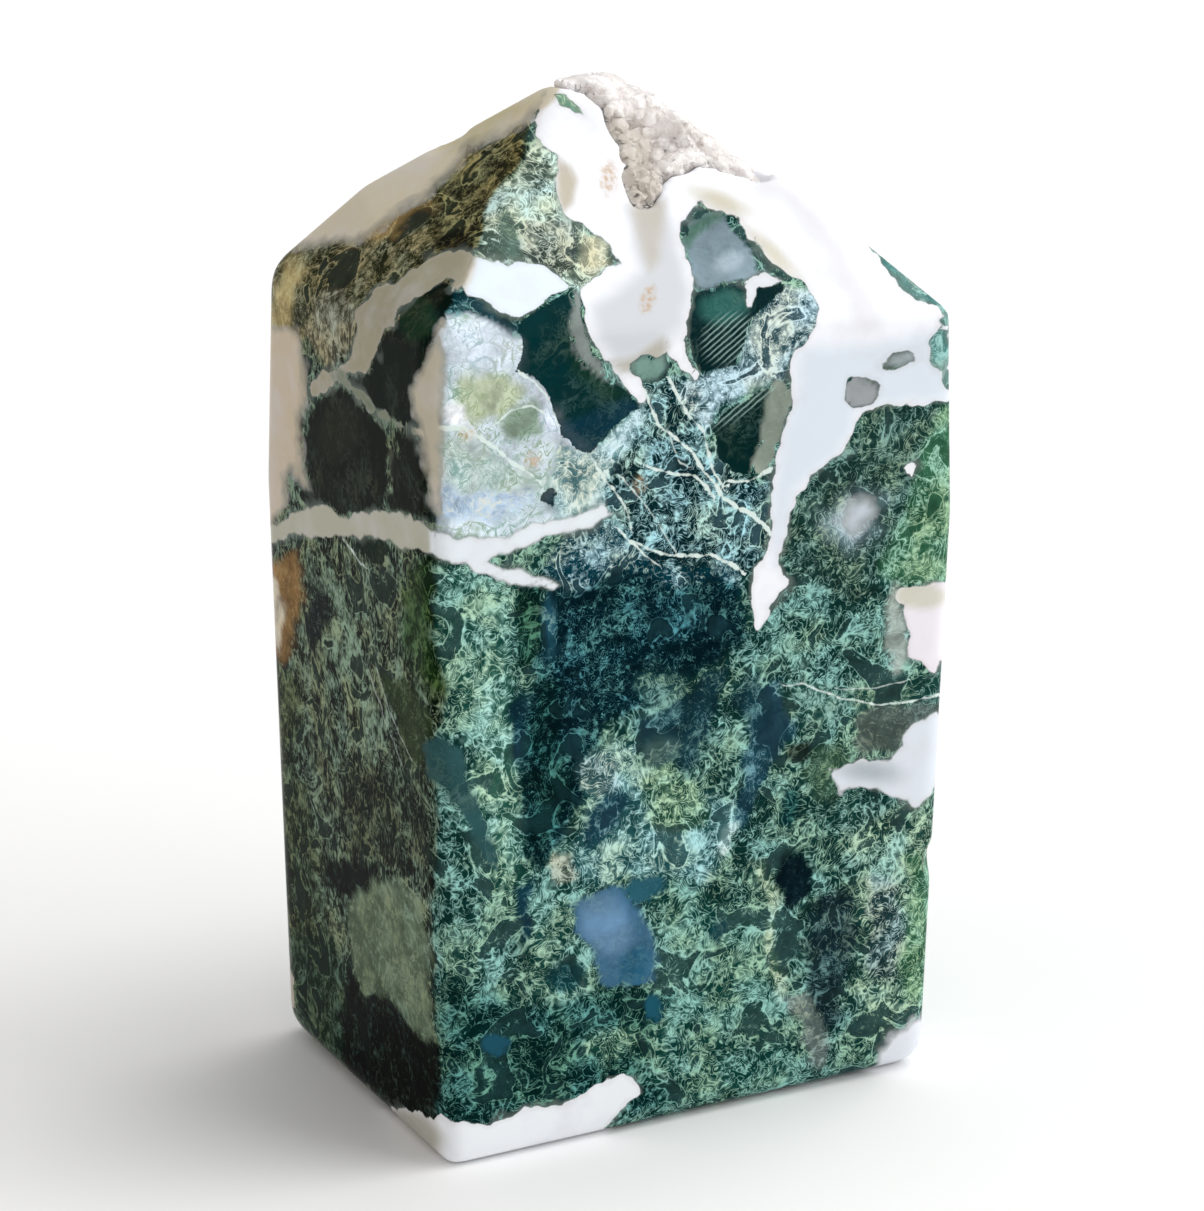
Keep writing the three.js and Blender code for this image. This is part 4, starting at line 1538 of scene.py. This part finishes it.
            faded = add(tree, "Math", {0: edges[name], 1: blur}, operation="DIVIDE")
            share = add(tree, "MapRange", {"Value": faded.outputs[0], "From Min": -1.0, "From Max": 1.0})
            shares[name] = share.outputs[0]
        wisps = add(tree, "TexNoise", {"Vector": mm, "Scale": 1 / self.wisp_size, "Detail": 2.0})
        swell = add(tree, "MapRange", {
            "Value": wisps.outputs[0], "From Min": 0.3, "From Max": 0.7,
            "To Min": self.fibre_swell[0], "To Max": self.fibre_swell[1],
        }).outputs[0]
        fibre = 0.0
        for i in range(FIBRE_SETS):
            side, half, near = (read[f"fibre_{what}_{i}"] for what in ("side", "half", "near"))
            swerve = add(tree, "Math", {0: uneven, 1: self.fibre_waver, 2: side}, operation="MULTIPLY_ADD")
            off = add(tree, "Math", {0: swerve.outputs[0]}, operation="ABSOLUTE").outputs[0]
            half = add(tree, "Math", {0: half, 1: swell}, operation="MULTIPLY").outputs[0]
            beyond = add(tree, "Math", {0: off, 1: half}, operation="SUBTRACT").outputs[0]
            drawn = add(tree, "MapRange", {
                "Value": beyond, "From Min": -self.fibre_edge, "From Max": self.fibre_edge,
                "To Min": 1.0, "To Max": 0.0,
            }).outputs[0]
            faint = add(tree, "MapRange", {
                "Value": half, "From Min": 0.0, "From Max": self.fibre_stout,
                "To Min": self.fibre_share[0], "To Max": self.fibre_share[1],
            }).outputs[0]
            drawn = add(tree, "Math", {0: drawn, 1: faint}, operation="MULTIPLY").outputs[0]
            close = add(tree, "Math", {0: near, 1: self.fibre_near}, operation="LESS_THAN").outputs[0]
            seen = add(tree, "Math", {0: drawn, 1: close}, operation="MULTIPLY").outputs[0]
            fibre = add(tree, "Math", {0: seen, 1: fibre}, operation="MAXIMUM").outputs[0]
        grains = add(tree, "TexNoise", {"Vector": mm, "Scale": 1 / self.stain_size, "Detail": 2.0}).outputs[0]
        speck = add(tree, "MapRange", {"Value": grains, "From Min": 0.45, "From Max": 0.6}).outputs[0]
        rusty = add(tree, "Math", {0: speck, 1: self.stain_share[0], 2: self.stain_share[1]},
                    operation="MULTIPLY_ADD").outputs[0]
        stain = add(tree, "Math", {0: read["stain"], 1: rusty}, operation="MULTIPLY").outputs[0]
        phase = add(tree, "Math", {0: uneven, 1: self.hatch_waver, 2: read["hatch_phase"]},
                    operation="MULTIPLY_ADD").outputs[0]
        comb = add(tree, "Math", {0: phase, 1: 0.5}, operation="PINGPONG").outputs[0]
        line = add(tree, "MapRange", {
            "Value": comb, "From Min": self.hatch_line[0], "From Max": self.hatch_line[1],
            "To Min": self.hatch_share, "To Max": 0.0,
        }).outputs[0]
        hatch = add(tree, "Math", {0: read["hatch"], 1: line}, operation="MULTIPLY").outputs[0]
        width = add(tree, "TexNoise", {"Vector": mm, "Scale": 1 / self.margin_size, "Detail": 2.0})
        reach = add(tree, "MapRange", {
            "Value": width.outputs[0], "From Min": 0.42, "From Max": 0.62,
            "To Min": self.margin_width[0], "To Max": self.margin_width[1],
        })
        outer = add(tree, "Math", {0: edges["vein"], 1: reach.outputs[0]}, operation="DIVIDE")
        margin = add(tree, "MapRange", {
            "Value": outer.outputs[0], "From Min": -1.0, "From Max": 0.0,
            "To Min": 0.0, "To Max": self.margin_share,
        }).outputs[0]
        thin = add(tree, "MapRange", {
            "Value": edges["vein"], "From Min": 0.0, "From Max": self.thin_width,
            "To Min": self.thin_share, "To Max": 0.0,
        }).outputs[0]
        veils = add(tree, "TexNoise", {
            "Vector": mm, "Scale": 1 / self.veil_size, "Detail": 5.0, "Roughness": 0.6,
        }).outputs[0]
        veil = add(tree, "MapRange", {
            "Value": veils, "From Min": 0.48, "From Max": 0.7, "To Min": 0.0, "To Max": self.veil_share,
        }).outputs[0]
        milk = read["vein_tint"]
        for share, colour in ((veil, self.veil_colour), (thin, self.thin_colour)):
            milk = add(tree, "Mix", {0: share, 6: milk, 7: linear(colour)}, data_type="RGBA").outputs[2]
        sunk = add(tree, "MapRange", {
            "Value": veils, "From Min": 0.38, "From Max": 0.62, "To Min": 0.0, "To Max": self.moss_in_pocket,
        }).outputs[0]
        light = add(tree, "MapRange", {
            "Value": veils, "From Min": 0.35, "From Max": 0.65,
            "To Min": self.pocket_light[0], "To Max": self.pocket_light[1],
        }).outputs[0]
        tinted = add(tree, "VectorMath", {0: read["pocket_tint"], "Scale": light}, operation="SCALE")
        deep = add(tree, "Mix", {0: sunk, 6: tinted.outputs[0], 7: moss}, data_type="RGBA").outputs[2]
        stone = moss
        for share, colour in (
            (shares["pocket"], deep),
            (margin, linear(self.margin_colour)),
            (hatch, linear(self.hatch_colour)),
            (fibre, linear(self.fibre_colour)),
            (shares["vein"], milk),
            (stain, linear(self.stain_colour)),
        ):
            stone = add(tree, "Mix", {0: share, 6: stone, 7: colour}, data_type="RGBA").outputs[2]
        return stone


@dataclass(frozen=True)
class DruzyQuartz:
    """Druzy quartz, a crust of small natural crystals.

    Milky quartz with glassy faces: it lets some light in, so it glows softly, and each flat face catches
    its own small glint.
    """

    ior: float = 1.544
    roughness: float = 0.12
    glow: float = 0.85
    glow_depth: float = 1.6 * MM
    cloud_size: float = 3.0
    milk: tuple[str, str] = ("efeae8", "ddd7d3")
    # Colour of the painted shade in the trough beside the left rim
    painted_valley_shade: str = "bcb4a9"

    def build(self) -> bpy.types.Material:
        """Makes the material."""
        material = bpy.data.materials.new("druzy_quartz_crystals")
        material.use_nodes = True
        tree = material.node_tree
        tree.nodes.clear()
        spot = add(tree, "TexCoord").outputs["Object"]
        mm = add(tree, "VectorMath", {0: spot, 1: (1 / MM,) * 3}, operation="MULTIPLY").outputs[0]
        clouds = add(tree, "TexNoise", {"Vector": mm, "Scale": 1 / self.cloud_size, "Detail": 3.0})
        share = add(tree, "MapRange", {"Value": clouds.outputs[0], "From Min": 0.35, "From Max": 0.65})
        # Greys the quartz with painted shade in the trough beside the left rim
        painted_valley_shade = add(tree, "Attribute", attribute_name="painted_valley_shade").outputs["Fac"]
        milk = linear(self.milk[0])
        for share, colour in ((share.outputs[0], self.milk[1]), (painted_valley_shade, self.painted_valley_shade)):
            milk = add(tree, "Mix", {0: share, 6: milk, 7: linear(colour)}, data_type="RGBA").outputs[2]
        surface = add(tree, "BsdfPrincipled", {
            "Base Color": milk,
            "Roughness": self.roughness,
            "IOR": self.ior,
            "Subsurface Weight": self.glow,
            "Subsurface Radius": (1.0, 1.0, 1.0),
            "Subsurface Scale": self.glow_depth,
        })
        add(tree, "OutputMaterial", {"Surface": surface.outputs[0]})
        return material


@dataclass
class Tower:
    """The polished tower: one stone, dressed in its own markings."""

    node: str = "agate_tower"
    slot: str = "moss_agate"
    skin: Skin = field(default_factory=lambda: Skin("agate_tower", "polished_tower"))

    def build(self) -> bpy.types.Object:
        """Makes the stone and its finish."""
        piece = self.skin.build()
        mesh = piece.data
        points = read_points(mesh)
        normals = np.zeros(len(points) * 3)
        mesh.vertices.foreach_get("normal", normals)
        chart = Chart(hull_tree(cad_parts[self.node].data))
        at, facing = chart.pixels(points, normals.reshape(-1, 3))
        Pattern().lay(mesh, at, facing, points)
        mesh.materials.clear()
        mesh.materials.append(PolishedMossAgate().build())
        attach(piece, BODY)
        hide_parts(self.node)
        return piece


@dataclass
class Druse:
    """The crust of quartz crystals that lines the hollow at the tip.

    Only the pointed tips show. Each tip is a six-sided pyramid, and the crust's surface is the highest of
    the pyramids at every point, so that the tips run into one another as grown crystals do.

    Attributes:
        count: How many crystals are tried for.
        spacing: Least and greatest distance between two neighbours.
        proud: Lowest and highest place of a tip over the levelled crust.
        levelled: How many rounds the CAD mesh's coarse crystals are smoothed for, to make room for
            fine ones.
        bedded: Distances from the stone between which the crust's surface goes from fixed to free.
        islands: How many rounds that freedom is evened for, so that thin spots inside the crust are
            free too.
        freed: Evened freedom below which a point stays fixed, and above which it is free.
        bedding: How far the crust's fixed part reaches into the stone, so that no gap shows at the rim.
        lean: How far a crystal leans from the crust's own direction.
        facets: How many faces a tip has.
        steepness: How steeply they fall away, in degrees.
        nearest: How many crystals are looked at for each point.
        grain: Length of the mesh's edges on the side that shows.
        divisions: How many times the mesh is divided at most.
        open_side: How far the crust has to face up for crystals to stand on it.
        shoulder: How much further up it faces where they stand at full height.
        slack: Least share of its own direction that a tip's face is measured along.
        clearance: How far the crystals stay under the tower's top.
        seed: Seed of the random choices.
        painted_valley_shade: The trough beside the left rim in the reference view, greyed with painted shade.
        painted_valley_shade_soft: Width of that painted shade's edge, in pixels.
    """

    node: str = "druzy_crust"
    slot: str = "druzy_quartz"
    count: int = 8000
    spacing: tuple[float, float] = (0.5 * MM, 1.5 * MM)
    proud: tuple[float, float] = (0.15 * MM, 0.5 * MM)
    levelled: int = 220
    bedded: tuple[float, float] = (0.2 * MM, 0.8 * MM)
    islands: int = 40
    freed: tuple[float, float] = (0.4, 0.8)
    bedding: float = 0.35 * MM
    lean: float = 0.2
    facets: int = 6
    steepness: float = 24.0
    nearest: int = 10
    grain: float = 0.2 * MM
    divisions: int = 5
    open_side: float = 0.1
    shoulder: float = 0.3
    slack: float = 0.2
    clearance: float = 0.03 * MM
    seed: int = 11
    painted_valley_shade: Outline = Outline((
        (586, 96), (606, 108), (622, 118), (647, 134), (655, 148), (656, 169), (668, 181), (664, 197),
        (638, 208), (625, 197), (614, 172), (608, 145), (596, 120),
    ))
    painted_valley_shade_soft: float = 14.0

    def build(self) -> bpy.types.Object:
        """Makes the crust from its CAD mesh, finely divided and raised to the crystals' faces."""
        random = np.random.default_rng(self.seed)
        mesh = self.divided(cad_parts[self.node].data)
        free = self.free(mesh)
        write_points(mesh, spread(mesh, read_points(mesh), self.levelled, free))
        tips, faces = self.crystals(mesh, random)
        self.raise_tips(mesh, tips, faces, free[:, 0])
        self.drop_fins(mesh)
        self.shade(mesh)
        piece = place("quartz_druse", mesh)
        mesh.materials.clear()
        mesh.materials.append(DruzyQuartz().build())
        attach(piece, BODY)
        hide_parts(self.node)
        return piece

    def free(self, mesh: bpy.types.Mesh) -> np.ndarray:
        """Tells how free each point is to move: 1 on the open side, 0 where the crust sits in the stone."""
        stone = surface_tree(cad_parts[Tower.node].data)
        room = np.array([stone.find_nearest(Vector(point))[3] for point in read_points(mesh)])
        return smooth(spread(mesh, smooth(room, *self.bedded)[:, None], self.islands), *self.freed)

    def shade(self, mesh: bpy.types.Mesh) -> None:
        """Stores how much painted shade greys the quartz in the trough beside the left rim."""
        depth = self.painted_valley_shade.depth(VIEW.pixels(read_points(mesh)), 4 * self.painted_valley_shade_soft)
        write_values(mesh, "painted_valley_shade", smooth(depth, -self.painted_valley_shade_soft, self.painted_valley_shade_soft))

    def divided(self, source: bpy.types.Mesh) -> bpy.types.Mesh:
        """Copies the crust's CAD mesh, with its open side divided to the mesh's grain."""
        build = bmesh.new()
        build.from_mesh(source)
        bmesh.ops.remove_doubles(build, verts=build.verts, dist=0.001 * MM)
        for _ in range(self.divisions):
            build.normal_update()
            coarse = [
                edge for edge in build.edges
                if edge.calc_length() > self.grain
                and any(face.normal.z > self.open_side for face in edge.link_faces)
            ]
            if not coarse:
                break
            bmesh.ops.subdivide_edges(build, edges=coarse, cuts=1)
            bmesh.ops.triangulate(build, faces=build.faces)
        mesh = bpy.data.meshes.new("quartz_druse")
        build.to_mesh(mesh)
        build.free()
        return mesh

    def drop_fins(self, mesh: bpy.types.Mesh) -> None:
        """Deletes the fins that dividing leaves: pairs of faces, back to back on the same points."""
        build = bmesh.new()
        build.from_mesh(mesh)
        single, fins = {}, []
        for face in build.faces:
            row = [vertex.index for vertex in face.verts]
            first = row.index(min(row))
            way = (*row[first:], *row[:first])
            back = (way[0], *reversed(way[1:]))
            if single.get(back):
                fins += [face, single[back].pop()]
            else:
                single.setdefault(way, []).append(face)
        bmesh.ops.delete(build, geom=fins, context="FACES")
        build.to_mesh(mesh)
        build.free()

    def crystals(self, mesh: bpy.types.Mesh, random: np.random.Generator) -> tuple[np.ndarray, np.ndarray]:
        """Scatters crystals evenly over the crust's open side.

        Args:
            mesh: The divided and levelled crust.
            random: Source of the random choices.

        Returns:
            The crystals' tips, and the outward directions of each tip's faces.
        """
        mesh.calc_loop_triangles()
        triangles = list(mesh.loop_triangles)
        share = np.array([t.area if t.normal.z > self.open_side else 0.0 for t in triangles])
        tips, faces = np.empty((self.count, 3)), np.empty((self.count, self.facets, 3))
        made = 0
        fall, step = math.radians(self.steepness), math.tau / self.facets
        for pick in random.choice(len(triangles), self.count, p=share / share.sum()):
            triangle = triangles[pick]
            a, b, c = (mesh.vertices[i].co for i in triangle.vertices)
            u, v = random.random(2)
            if u + v > 1:
                u, v = 1 - u, 1 - v
            foot = a + (b - a) * u + (c - a) * v
            room = random.uniform(*self.spacing)
            if made and np.min(np.linalg.norm(tips[:made] - foot, axis=1)) < room:
                continue
            axis = (Vector(triangle.normal) + Vector(random.normal(0, self.lean, 3))).normalized()
            side = axis.orthogonal().normalized()
            across = axis.cross(side)
            turn = random.uniform(0, step)
            tips[made] = foot + Vector(triangle.normal) * random.uniform(*self.proud)
            faces[made] = [
                axis * math.cos(fall) + (side * math.cos(angle) + across * math.sin(angle)) * math.sin(fall)
                for angle in (turn + i * step for i in range(self.facets))
            ]
            made += 1
        return tips[:made], faces[:made]

    def raise_tips(
        self, mesh: bpy.types.Mesh, tips: np.ndarray, faces: np.ndarray, free: np.ndarray
    ) -> None:
        """Moves the open side's points to the crystals' faces, along the crust's own direction.

        Args:
            mesh: The divided crust.
            tips: The crystals' tips.
            faces: The outward directions of each tip's faces.
            free: 1 for the points of the open side, 0 where the crust sits in the stone.
        """
        points = read_points(mesh)
        normals = np.array([vertex.normal for vertex in mesh.vertices])
        tree = KDTree(len(tips))
        for i, tip in enumerate(tips):
            tree.insert(tip, i)
        tree.balance()
        near = np.array([[found[1] for found in tree.find_n(p, self.nearest)] for p in points])
        out = np.einsum("pcd,pcfd->pcf", tips[near] - points[:, None], faces[near])
        along = np.maximum(np.einsum("pd,pcfd->pcf", normals, faces[near]), self.slack)
        height = (out / along).min(axis=2).max(axis=1)
        open_share = smooth(normals[:, 2], self.open_side, self.open_side + self.shoulder)
        rise = np.maximum(np.clip(height, 0.0, self.proud[1]) * open_share, self.bedding * (1 - free))
        moved = points + normals * rise[:, None]
        moved[:, 2] = np.minimum(moved[:, 2], CAD_BOX[1].z - self.clearance)
        write_points(mesh, moved)


@dataclass(frozen=True)
class MattePaper:
    """White backdrop paper, matte, so it takes only the stone's soft shadow."""

    colour: str = "fbfbfb"
    roughness: float = 0.9

    def build(self) -> bpy.types.Material:
        """Makes the material."""
        material = bpy.data.materials.new("matte_backdrop_paper")
        material.use_nodes = True
        surface = material.node_tree.nodes["Principled BSDF"]
        surface.inputs["Base Color"].default_value = linear(self.colour)
        surface.inputs["Roughness"].default_value = self.roughness
        surface.inputs["Specular IOR Level"].default_value = 0.0
        return material


@dataclass(frozen=True)
class Softbox:
    """A soft studio light.

    Attributes:
        name: What it does.
        azimuth: Where it stands round the tower, in degrees, 0 in front and 90 at the right.
        elevation: How high it stands, in degrees.
        distance: How far it stands from the tower's middle.
        size: Width of its square face.
        power: Its power, in watts.
        colour: Its colour.
    """

    name: str
    azimuth: float
    elevation: float
    distance: float
    size: float
    power: float
    colour: str = "ffffff"

    def build(self, aim: Vector) -> bpy.types.Object:
        """Stands the light in the scene, turned to a point."""
        data = bpy.data.lights.new(self.name, "AREA")
        data.size = self.size
        data.energy = self.power
        data.color = linear(self.colour)[:3]
        turn, rise = math.radians(self.azimuth), math.radians(self.elevation)
        out = Vector((math.sin(turn) * math.cos(rise), -math.cos(turn) * math.cos(rise), math.sin(rise)))
        light = place(self.name, data)
        light.location = aim + out * self.distance
        light.rotation_mode = "QUATERNION"
        light.rotation_quaternion = out.to_track_quat("Z", "Y")
        return light


@dataclass
class Studio:
    """A sheet of white paper, soft lights and a pale room."""

    floor_radius: float = 4.0
    floor_corners: int = 64
    room_light: float = 0.5
    lights: tuple[Softbox, ...] = (
        Softbox("key_light", 55, 25, 2.4, 2.2, 33.0),
        Softbox("top_light", 90, 65, 2.4, 1.8, 28.0),
        Softbox("left_fill", -100, 20, 2.0, 1.2, 2.5, "ffdcb4"),
    )

    def build(self) -> None:
        """Makes the floor, the lights and the room."""
        turns = [math.tau * i / self.floor_corners for i in range(self.floor_corners)]
        verts = [Vector((math.cos(turn), math.sin(turn), 0)) * self.floor_radius for turn in turns]
        mesh = bpy.data.meshes.new("floor")
        mesh.from_pydata(verts, [], [range(self.floor_corners)])
        mesh.materials.append(MattePaper().build())
        floor = place("floor", mesh)
        aim = (Vector(CAD_BOX[0]) + Vector(CAD_BOX[1])) / 2
        for light in self.lights:
            light.build(aim)
        world = bpy.data.worlds.new("pale_room")
        world.use_nodes = True
        room = world.node_tree.nodes["Background"].inputs
        room["Strength"].default_value = self.room_light
        room["Color"].default_value = (1, 1, 1, 1)
        bpy.context.scene.world = world
        bpy.context.scene.view_settings.view_transform = "Standard"


def main() -> None:
    """Builds the tower, its crust and the studio, and logs each piece."""
    noise.seed_set(NOISE_SEED)
    logging.basicConfig(level=logging.INFO, format="%(message)s")
    for maker in (Tower(), Druse()):
        piece = maker.build()
        log.info("%s: %d faces", piece.name, len(piece.data.polygons))
    Studio().build()
    VIEW.camera()
    log.info("studio and camera set")


if __name__ == "__main__":
    main()
